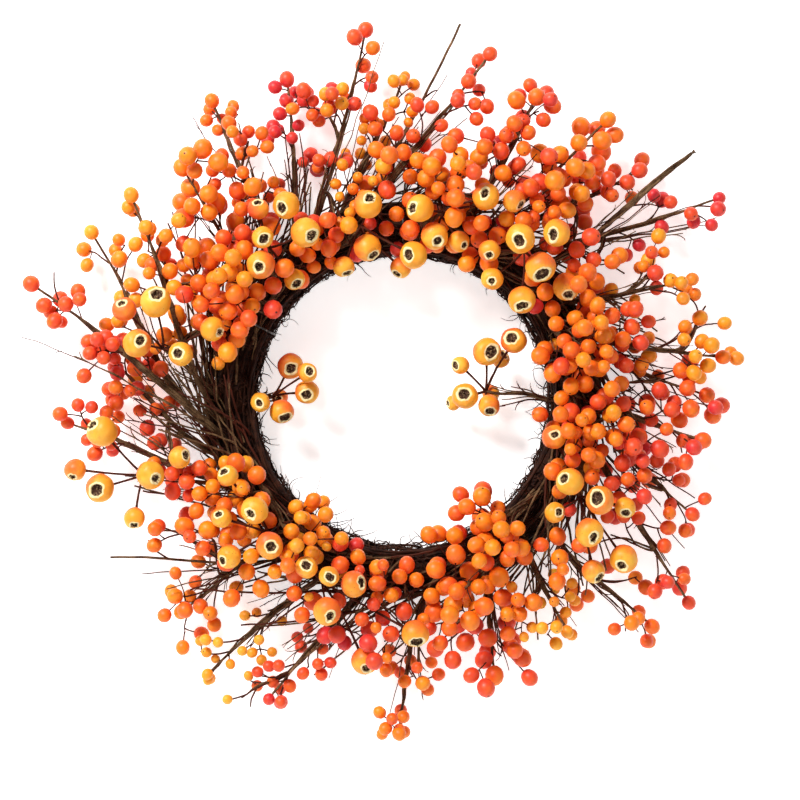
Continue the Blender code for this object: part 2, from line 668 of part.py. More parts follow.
def object_of(name, mesh, finish=None):
    """Links a mesh as a named object with one material."""
    obj = bpy.data.objects.new(name, mesh)
    bpy.context.scene.collection.objects.link(obj)
    if finish:
        mesh.materials.clear()
        mesh.materials.append(finish)
    return obj


def boolean(obj, other, operation):
    """Joins or cuts with another object, which becomes a hidden helper."""
    other.hide_render = True
    other.display_type = "WIRE"
    modifier = obj.modifiers.new(operation.lower(), "BOOLEAN")
    modifier.operation = operation
    modifier.object = other
    modifier.solver = "EXACT"
    modifier.use_self = True
    return modifier


def berry_mesh(fruits):
    """Twenty-sided berries, each turned so that its stalk comes in at the middle of a face."""
    bm = bmesh.new()
    for fruit, _ in fruits:
        made = bmesh.ops.create_icosphere(bm, subdivisions=1, radius=fruit.radius)["verts"]
        face = made[0].link_faces[0]
        face.normal_update()
        turn = face.normal.rotation_difference(-fruit.stalk).to_matrix().to_4x4()
        bmesh.ops.transform(bm, matrix=Matrix.Translation(fruit.centre) @ turn, verts=made)
    mesh = bpy.data.meshes.new("berries")
    bm.to_mesh(mesh)
    bm.free()
    return mesh


def make_pick(grown, finish):
    """One pick: stem, shoots, stalks and fruits, joined as the real one is glued."""
    tubes = [(points, tapered(radius, len(points))) for points, radius in grown.lines]
    stalks = [fruit_stalk(fruit, base) for fruit, base in grown.fruits if base]
    main = object_of(grown.pick.name, tube_mesh(tubes[:1], STEM_SIDES), finish)
    extras = [*tubes[1:], *stalks]
    if extras:
        boolean(main, object_of(grown.pick.name + "_stalks", tube_mesh(extras, STEM_SIDES)), "UNION")
    if grown.fruits:
        boolean(main, object_of(grown.pick.name + "_fruits", berry_mesh(grown.fruits)), "UNION")


def tapered(radius, count):
    """A radius for each point of a stem, thinner towards its tip."""
    return [radius * (1 - (1 - STEM_TAPER) * i / (count - 1)) for i in range(count)]


def fruit_stalk(fruit, base):
    """The stalk of a fruit, from its base to well inside the fruit."""
    return [base, fruit.centre - fruit.stalk * fruit.radius * 0.3], [SHOOT_RADIUS * 0.9] * 2


def make_bundle(stems, finish):
    """The bundle of twigs: a turned section with a flat back, sockets and tie grooves."""
    bm = bmesh.new()
    profile = [section_point(0, lane) for lane in range(-20, 201, 22)]
    flat = FLAT_BACK_SHARE * BUNDLE_HALF_WIDTH
    profile += [place(0, RING_RADIUS - flat, 0), place(0, RING_RADIUS + flat, 0)]
    verts = [bm.verts.new(point) for point in profile]
    face = bm.faces.new(verts)
    centre = Vector((0, 0, ring_centre_height()))
    bmesh.ops.spin(
        bm, geom=[face, *face.edges, *face.verts], cent=centre, axis=(0, 1, 0),
        angle=2 * math.pi, steps=RING_STEPS, use_merge=True, use_duplicate=False)
    inner = [f for f in bm.faces if len(f.verts) > 4]
    bmesh.ops.delete(bm, geom=inner, context="FACES_ONLY")
    bmesh.ops.remove_doubles(bm, verts=bm.verts, dist=1e-6)
    bmesh.ops.recalc_face_normals(bm, faces=bm.faces)
    mesh = bpy.data.meshes.new("twig_bundle")
    bm.to_mesh(mesh)
    bm.free()
    bundle = object_of("twig_bundle", mesh, finish)
    sockets = [socket_line(line) for line in stems]
    cutter = object_of("socket_cutter", tube_mesh(sockets, STEM_SIDES))
    boolean(bundle, cutter, "DIFFERENCE")
    ties = [tie_line(hour) for hour in (*TIE_HOURS, 12.0)]
    grooves = [(line, [TIE_RADIUS + 2 * GAP] * len(line)) for line in ties]
    cutter = object_of("groove_cutter", tube_mesh(grooves, closed=True))
    boolean(bundle, cutter, "DIFFERENCE")
    return bundle


def socket_line(line):
    """The cutter for one socket: the stem's own line, a little longer and wider."""
    ahead = (line[1] - line[0]).normalized()
    points = [line[0] - ahead * SOCKET_EXTRA]
    travelled = 0.0
    for before, point in zip(line, line[1:]):
        travelled += (point - before).length
        points.append(point)
        if travelled > SOCKET_REACH:
            break
    return points, [STEM_RADIUS + SOCKET_GAP] * len(points)


def make_strands(finish):
    """The thinner strands that run round the bundle."""
    for number, lane in enumerate(STRAND_LANES, 1):
        line = strand_line(lane)
        mesh = tube_mesh([(line, [STRAND_RADIUS] * len(line))], closed=True)
        object_of(f"twig_strand_{number}", mesh, finish)


def make_ties(finish):
    """The tie wires that hold the strands and picks on the bundle."""
    for number, hour in enumerate(TIE_HOURS, 1):
        line = tie_line(hour)
        object_of(f"tie_wire_{number}", tube_mesh([(line, [TIE_RADIUS] * len(line))], closed=True), finish)


def make_hanger(finish):
    """The hanger: a tie with an eye at 12 o'clock, and the loop that swings in the eye."""
    line = tie_line(12.0)
    tie = object_of("hanger_tie", tube_mesh([(line, [TIE_RADIUS] * len(line))], closed=True), finish)
    eye = place(0, eye_height(), BUNDLE_BACK_DEPTH)
    count = 12
    ring = [eye + Vector((0, math.cos(a), math.sin(a))) * EYE_RADIUS
            for a in (2 * math.pi * (i + 0.5) / count for i in range(count))]
    boolean(tie, object_of("eye_helper", tube_mesh([(ring, [TIE_RADIUS] * count)], closed=True)), "UNION")
    line = loop_line()
    object_of("hanging_loop", tube_mesh([(line, [LOOP_WIRE_RADIUS] * len(line))], closed=True), finish)


def main():
    """Builds the whole wreath."""
    clear_scene()
    finishes = {tone: material(tone + "_berry", colour, 0.38) for tone, colour in FRUIT_TONES.items()}
    bark = material("bark", BARK, 0.75)
    dark = material("dark_twig", DARK_TWIG, 0.85)
    wire = material("wire", WIRE, 0.5)
    grown = Grower().grow_all()
    for pick in grown:
        make_pick(pick, finishes[pick.pick.tone] if pick.fruits else bark)
    make_bundle([pick.lines[0][0] for pick in grown], dark)
    make_strands(dark)
    make_ties(wire)
    make_hanger(wire)
    print("berries", sum(len(p.fruits) for p in grown), "picks", len(grown))


main()
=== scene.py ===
"""The looks of a harvest door wreath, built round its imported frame.

The wreath is a bound ring of dark twigs with wired picks pushed into it: sprays of small berries,
crab apples with an open eye, and a few bare twigs, all swept clockwise. Metres, +Z up, the door's
face on y = 0 and the front towards -Y. Clock hours are read from the front, with 12 at the top.
"""

import sys
import logging
import math
import random
from collections.abc import Callable, Iterable, Sequence
from dataclasses import dataclass, field
from enum import Enum

import bmesh
import bpy
import numpy as np
from mathutils import Matrix, Quaternion, Vector, noise


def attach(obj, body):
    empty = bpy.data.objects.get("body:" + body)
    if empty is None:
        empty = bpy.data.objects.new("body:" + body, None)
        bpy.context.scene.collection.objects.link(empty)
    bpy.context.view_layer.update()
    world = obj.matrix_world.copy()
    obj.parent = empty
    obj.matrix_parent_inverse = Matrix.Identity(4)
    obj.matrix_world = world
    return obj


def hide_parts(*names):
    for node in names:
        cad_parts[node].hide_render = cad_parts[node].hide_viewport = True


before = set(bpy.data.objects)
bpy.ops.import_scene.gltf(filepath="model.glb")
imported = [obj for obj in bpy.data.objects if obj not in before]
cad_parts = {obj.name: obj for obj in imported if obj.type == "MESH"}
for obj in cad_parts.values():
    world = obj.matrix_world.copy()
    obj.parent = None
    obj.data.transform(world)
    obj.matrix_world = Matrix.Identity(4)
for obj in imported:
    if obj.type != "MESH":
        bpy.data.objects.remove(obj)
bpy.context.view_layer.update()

log = logging.getLogger("wreath")

WREATH_BODY = "wreath"
LOOP_BODY = "loop"


class Tone(Enum):
    """The berry colours, with each one's place on the skin's colour scale."""

    CRIMSON = 0.04
    CORAL = 0.30
    ORANGE = 0.50
    AMBER = 0.70
    GOLD = 0.90


@dataclass(frozen=True)
class Spray:
    """A wired stem with small berries.

    Root is the clock hour it leaves the bundle at, and lane where round the section. Tip is its
    clock hour, its distance out from the ring's centre line and its depth off the door.
    """

    name: str
    root: float
    lane: float
    tip: tuple[float, float, float]
    berries: int
    size: float
    tone: Tone
    shoots: int = 2
    spread: float = 0.022
    bow: float = 0.35


@dataclass(frozen=True)
class ApplePick:
    """A wired stem with crab apples on stalks.

    Fork is placed as a spray's tip is, and so is each fruit, with its own radius after that.
    """

    name: str
    root: float
    lane: float
    fork: tuple[float, float, float]
    fruits: tuple[tuple[float, float, float, float], ...]
    tone: Tone = Tone.GOLD


@dataclass(frozen=True)
class SideBranch:
    """A branch that forks off whichever stem passes near, with berries of its own.

    Its tip is placed as a spray's is.
    """

    tip: tuple[float, float, float]
    berries: int
    size: float
    tone: Tone
    shoots: int = 2
    spread: float = 0.020


Pick = Spray | ApplePick
Line = list[Vector]

CRIMSON, CORAL, ORANGE, AMBER, GOLD = Tone

# Each row: root, lane, tip, berries, size and tone, then shoots, spread and bow where they differ.
SPRAY_ROWS = (
    (10.95, 57, (11.80, 0.156, 0.040), 9, 0.0062, CORAL, 3, 0.019),
    (10.75, 8, (11.33, 0.132, 0.030), 7, 0.0058, CRIMSON, 3, 0.017),
    (10.35, 57, (10.91, 0.142, 0.040), 8, 0.0056, ORANGE, 4, 0.025),
    (10.00, 57, (10.54, 0.112, 0.066), 9, 0.0078, ORANGE, 3, 0.027),
    (8.75, 57, (10.22, 0.128, 0.058), 10, 0.0064, AMBER, 4, 0.029, 0.1),
    (8.55, 8, (9.93, 0.142, 0.036), 10, 0.0062, AMBER, 4, 0.031, 0.1),
    (8.60, 57, (9.57, 0.168, 0.034), 10, 0.0064, CORAL, 4, 0.023),
    (8.30, 8, (9.27, 0.104, 0.026), 8, 0.0062, CORAL, 3, 0.021),
    (9.75, 102, (10.20, 0.030, 0.066), 12, 0.0074, ORANGE, 5, 0.032),
    (11.40, 57, (0.46, 0.142, 0.046), 9, 0.0060, CORAL, 4, 0.027, 0.1),
    (11.25, 8, (11.99, 0.116, 0.034), 9, 0.0048, AMBER, 4, 0.025),
    (0.15, 57, (0.79, 0.120, 0.048), 10, 0.0068, CORAL, 4, 0.025),
    (11.80, 57, (0.50, 0.050, 0.066), 12, 0.0072, ORANGE, 5, 0.032),
    (0.70, 57, (1.20, 0.134, 0.058), 10, 0.0076, ORANGE, 4, 0.025),
    (0.90, 8, (1.52, 0.122, 0.038), 9, 0.0062, CORAL, 4, 0.025),
    (1.22, 8, (1.91, 0.159, 0.034), 9, 0.0060, CRIMSON, 3, 0.019),
    (1.80, 57, (2.24, 0.109, 0.046), 8, 0.0058, AMBER, 4, 0.027),
    (2.15, 57, (2.74, 0.116, 0.048), 10, 0.0062, AMBER, 4, 0.029),
    (2.40, 8, (2.96, 0.102, 0.036), 10, 0.0066, CORAL, 4, 0.027),
    (1.98, 102, (2.44, 0.014, 0.066), 12, 0.0068, ORANGE, 5, 0.032),
    (2.65, 102, (3.30, 0.012, 0.064), 12, 0.0062, ORANGE, 5, 0.032),
    (2.82, 57, (3.25, 0.100, 0.044), 10, 0.0068, CORAL, 4, 0.029),
    (3.12, 8, (3.71, 0.108, 0.038), 10, 0.0062, CORAL, 4, 0.025),
    (3.40, 57, (4.17, 0.138, 0.034), 10, 0.0062, CORAL, 4, 0.027, 0.1),
    (4.25, 8, (4.41, 0.128, 0.034), 7, 0.0058, ORANGE, 4, 0.029),
    (4.50, 57, (4.82, 0.086, 0.046), 9, 0.0050, GOLD, 4, 0.024),
    (4.05, 102, (4.95, -0.008, 0.066), 12, 0.0072, ORANGE, 5, 0.032),
    (4.70, 57, (5.50, 0.028, 0.062), 12, 0.0074, ORANGE, 5, 0.032),
    (5.00, 8, (5.38, 0.090, 0.044), 10, 0.0072, CORAL, 3, 0.027),
    (5.65, 8, (6.02, 0.124, 0.032), 8, 0.0056, ORANGE, 3, 0.023),
    (8.00, 8, (8.86, 0.129, 0.030), 9, 0.0058, CORAL, 3, 0.021),
    (7.26, 8, (7.54, 0.106, 0.030), 9, 0.0062, ORANGE, 4, 0.029),
    (8.10, 102, (7.25, 0.008, 0.064), 12, 0.0064, AMBER, 5, 0.032, 0.0),
    (6.70, 8, (7.18, 0.130, 0.028), 10, 0.0046, GOLD, 4, 0.030),
    (6.25, 8, (6.80, 0.122, 0.034), 10, 0.0052, CORAL, 4, 0.027),
)
SPRAYS = tuple(Spray(f"berry_spray_{number:02}", *row) for number, row in enumerate(SPRAY_ROWS, 1))

# Each row: root, lane and fork, then the fruits.
APPLE_ROWS = (
    (10.20, 102, (10.62, 0.024, 0.066), (
        (10.97, 0.042, 0.082, 0.0108), (10.76, 0.052, 0.078, 0.0084), (10.64, 0.032, 0.090, 0.0086),
        (10.99, 0.016, 0.088, 0.0116), (10.47, 0.020, 0.084, 0.0112), (10.60, -0.007, 0.062, 0.0084))),
    (11.10, 102, (11.55, 0.006, 0.062), (
        (11.66, 0.020, 0.078, 0.0112), (11.56, -0.012, 0.066, 0.0108), (11.20, -0.020, 0.060, 0.0084),
        (0.14, -0.021, 0.072, 0.0108), (0.12, -0.043, 0.058, 0.0084))),
    (11.85, 102, (0.40, 0.016, 0.062), (
        (0.17, 0.015, 0.084, 0.0108), (0.36, -0.004, 0.074, 0.0108), (0.62, -0.003, 0.068, 0.0084),
        (0.74, 0.036, 0.082, 0.0108), (0.97, 0.043, 0.074, 0.0088))),
    (0.80, 102, (1.30, 0.016, 0.062), (
        (1.00, 0.000, 0.078, 0.0086), (1.21, -0.017, 0.072, 0.0088), (1.20, 0.020, 0.094, 0.0116),
        (1.42, 0.042, 0.084, 0.0108), (1.53, 0.014, 0.086, 0.0120), (1.66, -0.013, 0.070, 0.0108),
        (1.84, 0.021, 0.066, 0.0108))),
    (8.90, 57, (9.40, 0.058, 0.056), (
        (9.72, 0.072, 0.084, 0.0122), (9.60, 0.094, 0.072, 0.0096), (9.40, 0.077, 0.080, 0.0112),
        (9.39, 0.042, 0.078, 0.0096), (9.68, 0.024, 0.078, 0.0096))),
    (7.90, 57, (8.46, 0.078, 0.046), (
        (8.80, 0.102, 0.066, 0.0120), (8.60, 0.129, 0.050, 0.0088), (8.46, 0.112, 0.066, 0.0114),
        (8.45, 0.071, 0.074, 0.0112), (8.52, 0.046, 0.066, 0.0088), (8.21, 0.096, 0.052, 0.0084))),
    (9.10, 160, (9.05, -0.031, 0.028), (
        (9.56, -0.041, 0.034, 0.0104), (9.16, -0.058, 0.036, 0.0096), (8.82, -0.038, 0.040, 0.0096),
        (9.53, -0.056, 0.052, 0.0078), (8.97, -0.022, 0.048, 0.0078), (9.04, -0.036, 0.024, 0.0066))),
    (3.10, 160, (2.80, -0.068, 0.026), (
        (2.06, -0.035, 0.040, 0.0104), (2.00, -0.058, 0.042, 0.0112), (1.96, -0.081, 0.034, 0.0072),
        (2.88, -0.085, 0.038, 0.0104), (3.12, -0.066, 0.036, 0.0088), (2.24, -0.050, 0.022, 0.0072),
        (2.86, -0.064, 0.018, 0.0070), (3.11, -0.094, 0.024, 0.0062))),
    (7.10, 102, (7.50, 0.014, 0.060), (
        (8.22, 0.014, 0.080, 0.0082), (7.78, 0.009, 0.086, 0.0108), (7.90, 0.034, 0.078, 0.0080),
        (7.42, 0.019, 0.082, 0.0108), (7.60, 0.048, 0.070, 0.0096))),
    (6.20, 57, (6.80, 0.022, 0.056), (
        (7.00, 0.016, 0.078, 0.0088), (6.76, 0.014, 0.084, 0.0080), (6.50, 0.014, 0.078, 0.0104),
        (6.66, 0.040, 0.080, 0.0112), (5.90, 0.048, 0.070, 0.0108), (6.28, 0.072, 0.058, 0.0108))),
    (3.30, 57, (3.95, 0.024, 0.058), (
        (3.46, -0.013, 0.070, 0.0096), (3.87, 0.010, 0.084, 0.0108), (3.90, 0.037, 0.086, 0.0112),
        (3.86, 0.058, 0.072, 0.0084), (4.18, 0.043, 0.082, 0.0112), (4.22, 0.013, 0.070, 0.0082),
        (4.19, 0.078, 0.066, 0.0112), (4.40, 0.066, 0.060, 0.0092))),
)
APPLE_PICKS = tuple(ApplePick(f"apple_pick_{number:02}", *row) for number, row in enumerate(APPLE_ROWS, 1))

BARE_TWIGS: tuple[Spray, ...] = (
    Spray("bare_twig_top", 11.50, 8, (0.29, 0.166, 0.036), 0, 0.0, AMBER, 1, 0.020, 0.1),
    Spray("bare_twig_right", 1.30, 57, (1.65, 0.164, 0.054), 0, 0.0, AMBER, 1, 0.026, 0.0),
    Spray("bare_twig_left", 7.05, 8, (8.06, 0.128, 0.040), 0, 0.0, AMBER, 1, 0.030, 0.1),
)

# Each row: clock hour, distance out and depth of the tip, then the branch's other values in order.
SIDE_BRANCH_ROWS = (
    (11.50, 0.104, 0.048, 6, 0.0058, AMBER), (10.97, 0.102, 0.058, 6, 0.0060, ORANGE),
    (10.02, 0.084, 0.048, 10, 0.0062, ORANGE), (11.56, 0.036, 0.056, 7, 0.0050, AMBER),
    (1.33, 0.060, 0.062, 9, 0.0068, ORANGE), (2.06, 0.088, 0.050, 9, 0.0062, CORAL),
    (2.42, 0.116, 0.034, 7, 0.0056, AMBER), (2.46, 0.020, 0.074, 8, 0.0064, ORANGE),
    (2.38, 0.052, 0.060, 7, 0.0062, CORAL), (5.02, 0.055, 0.060, 9, 0.0068, ORANGE),
    (8.16, 0.038, 0.056, 9, 0.0062, ORANGE), (8.06, 0.080, 0.042, 6, 0.0060, ORANGE),
    (6.25, 0.028, 0.060, 6, 0.0056, CORAL), (6.95, 0.134, 0.030, 6, 0.0044, GOLD, 3),
    (9.95, 0.012, 0.054, 8, 0.0074, ORANGE), (10.20, 0.006, 0.056, 8, 0.0072, CORAL),
    (10.45, 0.036, 0.060, 6, 0.0072, CORAL), (10.70, 0.056, 0.056, 6, 0.0070, CORAL),
    (10.05, 0.052, 0.060, 6, 0.0074, ORANGE), (11.95, 0.072, 0.050, 6, 0.0062, CORAL),
    (0.05, 0.046, 0.052, 6, 0.0070, ORANGE), (0.35, 0.040, 0.056, 6, 0.0072, ORANGE),
    (0.75, 0.064, 0.060, 6, 0.0072, CORAL), (1.10, 0.054, 0.060, 6, 0.0072, ORANGE),
    (1.62, 0.046, 0.062, 6, 0.0068, CORAL), (1.85, 0.052, 0.056, 6, 0.0068, ORANGE),
    (2.15, 0.012, 0.058, 8, 0.0068, ORANGE), (2.60, 0.004, 0.056, 8, 0.0070, ORANGE),
    (2.85, 0.040, 0.060, 6, 0.0068, CORAL), (3.02, 0.010, 0.056, 8, 0.0070, CORAL),
    (3.45, 0.006, 0.054, 8, 0.0070, ORANGE), (3.28, 0.050, 0.060, 6, 0.0068, CORAL),
    (3.62, 0.056, 0.056, 6, 0.0066, CORAL), (3.80, 0.020, 0.060, 8, 0.0070, ORANGE),
    (4.10, 0.060, 0.052, 6, 0.0066, CORAL), (4.50, 0.040, 0.060, 6, 0.0070, ORANGE),
    (4.75, 0.004, 0.058, 8, 0.0074, ORANGE), (5.25, 0.006, 0.056, 6, 0.0074, ORANGE),
    (5.75, 0.012, 0.056, 6, 0.0074, ORANGE), (5.72, 0.052, 0.056, 6, 0.0070, CORAL),
    (6.02, 0.006, 0.054, 6, 0.0070, ORANGE), (6.08, 0.050, 0.052, 6, 0.0066, CORAL),
    (6.35, 0.008, 0.054, 6, 0.0068, ORANGE), (6.50, 0.052, 0.052, 6, 0.0068, CRIMSON),
    (6.72, 0.006, 0.056, 6, 0.0068, CORAL), (6.98, 0.040, 0.056, 6, 0.0072, CORAL),
    (7.15, 0.008, 0.054, 6, 0.0074, ORANGE), (7.42, 0.046, 0.054, 6, 0.0072, ORANGE),
    (7.50, 0.006, 0.056, 8, 0.0074, ORANGE), (7.78, 0.008, 0.054, 8, 0.0072, ORANGE),
    (7.85, 0.050, 0.054, 6, 0.0070, ORANGE), (8.08, 0.010, 0.054, 8, 0.0070, ORANGE),
    (8.30, 0.058, 0.050, 7, 0.0062, CORAL), (9.80, 0.030, 0.058, 8, 0.0072, CORAL),
    (10.85, 0.004, 0.050, 6, 0.0070, ORANGE), (11.20, 0.016, 0.052, 6, 0.0070, CORAL),
    (11.42, -0.002, 0.050, 6, 0.0068, ORANGE), (11.80, 0.004, 0.052, 8, 0.0070, ORANGE),
    (11.85, 0.034, 0.050, 6, 0.0068, CORAL), (0.02, 0.010, 0.052, 8, 0.0070, CORAL),
    (0.48, 0.010, 0.052, 8, 0.0070, ORANGE), (0.86, 0.008, 0.052, 8, 0.0072, ORANGE),
    (1.06, 0.024, 0.054, 8, 0.0070, CORAL), (1.70, 0.012, 0.052, 8, 0.0070, ORANGE),
    (1.95, 0.030, 0.054, 8, 0.0070, CORAL), (11.80, -0.026, 0.056, 5, 0.0074, ORANGE),
    (0.12, -0.028, 0.058, 6, 0.0074, ORANGE),
)
SIDE_BRANCHES = tuple(SideBranch(row[:3], *row[3:]) for row in SIDE_BRANCH_ROWS)


@dataclass(frozen=True)
class RingFrame:
    """The bundle's section and the sizes that every piece of the wreath is placed by."""

    radius: float = 0.134
    half_width: float = 0.0185
    back_depth: float = 0.012
    front_depth: float = 0.020
    flat_back_share: float = 0.7
    steps: int = 32
    chord_sag: float = 0.0007
    strand_radius: float = 0.0028
    strand_lanes: tuple[int, ...] = (-16, 33, 80, 127)
    strand_wander: float = 3.0
    tie_radius: float = 0.0008
    tie_hours: tuple[float, ...] = (2.5, 5.0, 7.5, 9.9)
    tie_sink: float = 0.0014
    tie_corners: int = 10
    eye_radius: float = 0.0036
    loop_wire_radius: float = 0.0010
    loop_half_width: float = 0.012
    loop_height: float = 0.040
    loop_lean: float = math.radians(3.0)
    loop_swing: float = math.radians(110.0)
    gap: float = 0.0003

    def section(self, lane: float, share: float = 1.0, beyond: float = 0.0) -> tuple[float, float]:
        """A point of the bundle's section.

        Args:
            lane: Degrees round the section: 0 is the outer side, 90 the front, 180 the inner side.
            share: How far out from the middle line, 1 being the bundle's skin.
            beyond: Metres further out than that.

        Returns:
            Distance out from the ring's centre line, and depth off the door.
        """
        angle = math.radians(lane)
        across = (self.half_width * share + beyond) * math.cos(angle)
        rise = (self.front_depth * share + beyond) * math.sin(angle)
        if rise < 0:
            rise *= self.back_depth / self.front_depth
        return across, self.back_depth + rise

    def strand_section(self, lane: float, hour: float) -> tuple[float, float]:
        """Where a strand's centre stands in the section at a clock hour: distance out, and depth."""
        wander = self.strand_wander * math.sin(3 * math.radians(30 * hour) + lane)
        skin = self.strand_radius + self.chord_sag + 2 * self.gap
        return self.section(lane + wander, 1.0, skin)

    def tie_section(self, hour: float) -> list[tuple[float, float]]:
        """The taut outline of a tie wire round the bundle and its strands.

        Args:
            hour: Clock hour.

        Returns:
            Corners as (out from the centre line, depth), anticlockwise.
        """
        reach = self.strand_radius + self.tie_radius + 2 * self.gap
        skin = self.tie_radius + 2 * self.gap
        points = [self.section(lane, 1.0, skin) for lane in range(-5, 200, 12)]
        for lane in self.strand_lanes:
            across, depth = self.strand_section(lane, hour)
            for i in range(self.tie_corners):
                turn = 2 * math.pi * i / self.tie_corners
                points.append((across + reach * math.cos(turn), depth + reach * math.sin(turn)))
        flat = self.flat_back_share * self.half_width
        return hull([*points, (-flat, self.tie_sink), (flat, self.tie_sink)])

    def tie_top(self) -> float:
        """How far out the 12 o'clock tie stands at the depth of the bundle's widest line."""
        outline = self.tie_section(12.0)
        found = 0.0
        for (x0, d0), (x1, d1) in zip(outline, outline[1:] + outline[:1]):
            if (d0 - self.back_depth) * (d1 - self.back_depth) <= 0 and d0 != d1:
                found = max(found, x0 + (x1 - x0) * (self.back_depth - d0) / (d1 - d0))
        return found

    def eye_height(self) -> float:
        """Height of the hanger eye's centre above the ring's centre."""
        return self.radius + self.tie_top() + self.eye_radius

    def bar_height(self) -> float:
        """Height of the loop's bottom bar above the ring's centre."""
        slack = self.eye_radius - self.tie_radius - self.loop_wire_radius - self.gap
        return self.eye_height() + slack

    def centre_height(self) -> float:
        """Z of the ring's centre, with the hook at the origin."""
        top = self.loop_height * math.cos(self.loop_lean) - self.loop_wire_radius
        return -(self.bar_height() + top)

    def place(self, hour: float, radius: float, depth: float) -> Vector:
        """The point at a clock hour, a distance from the ring's centre and a depth off the door."""
        return outward(hour) * radius + Vector((0, -depth, CENTRE_HEIGHT))

    def section_point(self, hour: float, lane: float, share: float = 1.0, beyond: float = 0.0) -> Vector:
        """The section's point at a clock hour, from its lane, its share and how far beyond."""
        across, depth = self.section(lane, share, beyond)
        return self.place(hour, self.radius + across, depth)

    def strand_line(self, lane: float) -> Line:
        """The closed line of one strand, its corners where the ring's steps are."""
        hours = [12 * i / self.steps for i in range(self.steps)]
        places = [self.strand_section(lane, hour) for hour in hours]
        return [self.place(hour, self.radius + x, depth) for hour, (x, depth) in zip(hours, places)]

    def tie_line(self, hour: float) -> Line:
        """The closed line of a tie wire at a clock hour."""
        return [self.place(hour, self.radius + x, depth) for x, depth in self.tie_section(hour)]

    def loop_line(self, swing: float = 0.0) -> Line:
        """The closed line of the hanging loop.

        Args:
            swing: Angle back from rest, in radians.

        Returns:
            The loop's corners, from its bottom bar round its arch.
        """
        arch = self.loop_half_width
        height = self.loop_height - arch
        flat = [(-arch, 0.0), (arch, 0.0), (arch, height * 0.5)]
        for i in range(9):
            angle = math.pi * i / 8
            flat.append((arch * math.cos(angle), height + arch * math.sin(angle)))
        flat.append((-arch, height * 0.5))
        bar = self.place(0, self.bar_height(), self.back_depth)
        lean = self.loop_lean - swing
        return [bar + Vector((x, -h * math.sin(lean), h * math.cos(lean))) for x, h in flat]


def hull(points: Iterable[tuple[float, float]]) -> list[tuple[float, float]]:
    """The convex outline of flat points.

    Args:
        points: The flat points.

    Returns:
        Its corners, anticlockwise.
    """
    ordered = sorted(set(points))
    halves: list[tuple[float, float]] = []
    for run in (ordered, ordered[::-1]):
        half: list[tuple[float, float]] = []
        for point in run:
            while len(half) > 1 and turn_of(half[-2], half[-1], point) <= 1e-9:
                half.pop()
            half.append(point)
        halves += half[:-1]
    return halves


def turn_of(a: tuple[float, float], b: tuple[float, float], c: tuple[float, float]) -> float:
    """Twice the area of the triangle a, b, c, positive if it turns left."""
    return (b[0] - a[0]) * (c[1] - a[1]) - (b[1] - a[1]) * (c[0] - a[0])


def outward(hour: float) -> Vector:
    """Unit vector from the ring's centre towards a clock hour."""
    angle = math.radians(30 * hour)
    return Vector((math.sin(angle), 0, math.cos(angle)))


def clockwise(hour: float) -> Vector:
    """Unit vector along the ring, clockwise as seen from the front."""
    angle = math.radians(30 * hour)
    return Vector((math.cos(angle), 0, -math.sin(angle)))


def section_normal(hour: float, lane: float) -> Vector:
    """Unit vector out of the bundle's section at a lane."""
    angle = math.radians(lane)
    return outward(hour) * math.cos(angle) + Vector((0, -math.sin(angle), 0))


def bezier(a: Vector, b: Vector, c: Vector, d: Vector, count: int) -> Line:
    """So many points of the cubic Bezier curve from a to d with the handles b and c."""
    steps = [i / (count - 1) for i in range(count)]
    return [a * (1 - t) ** 3 + b * 3 * t * (1 - t) ** 2 + c * 3 * t * t * (1 - t) + d * t**3 for t in steps]


def point_on(line: Line, at: float) -> Vector:
    """The point a share of the way along a line of points."""
    place_on = min(max(at, 0.0), 1.0) * (len(line) - 1)
    index = min(int(place_on), len(line) - 2)
    return line[index].lerp(line[index + 1], place_on - index)


def around(axis: Vector, turn: float) -> Vector:
    """A unit vector square to an axis, turned round it."""
    first = axis.cross(Vector((0.1, -1, 0.2))).normalized()
    second = axis.cross(first).normalized()
    return first * math.cos(turn) + second * math.sin(turn)


RING = RingFrame()
CENTRE_HEIGHT = RING.centre_height()

STEM_RADIUS = 0.0013
SHOOT_RADIUS = 0.0009
ROOT_SHARE = 0.35
DOOR_GAP = 0.0015
FRONT_REACH = 0.104
STEM_GAP = 0.0007
STEM_POINTS = 6
SEED = 41
RING_OWNER = -2  # the ring's own strands, ties and vines
LOOP_OWNER = -3  # the room that the hanging loop swings through
SHOOT_START = 0.34
SHOOT_END = 0.95


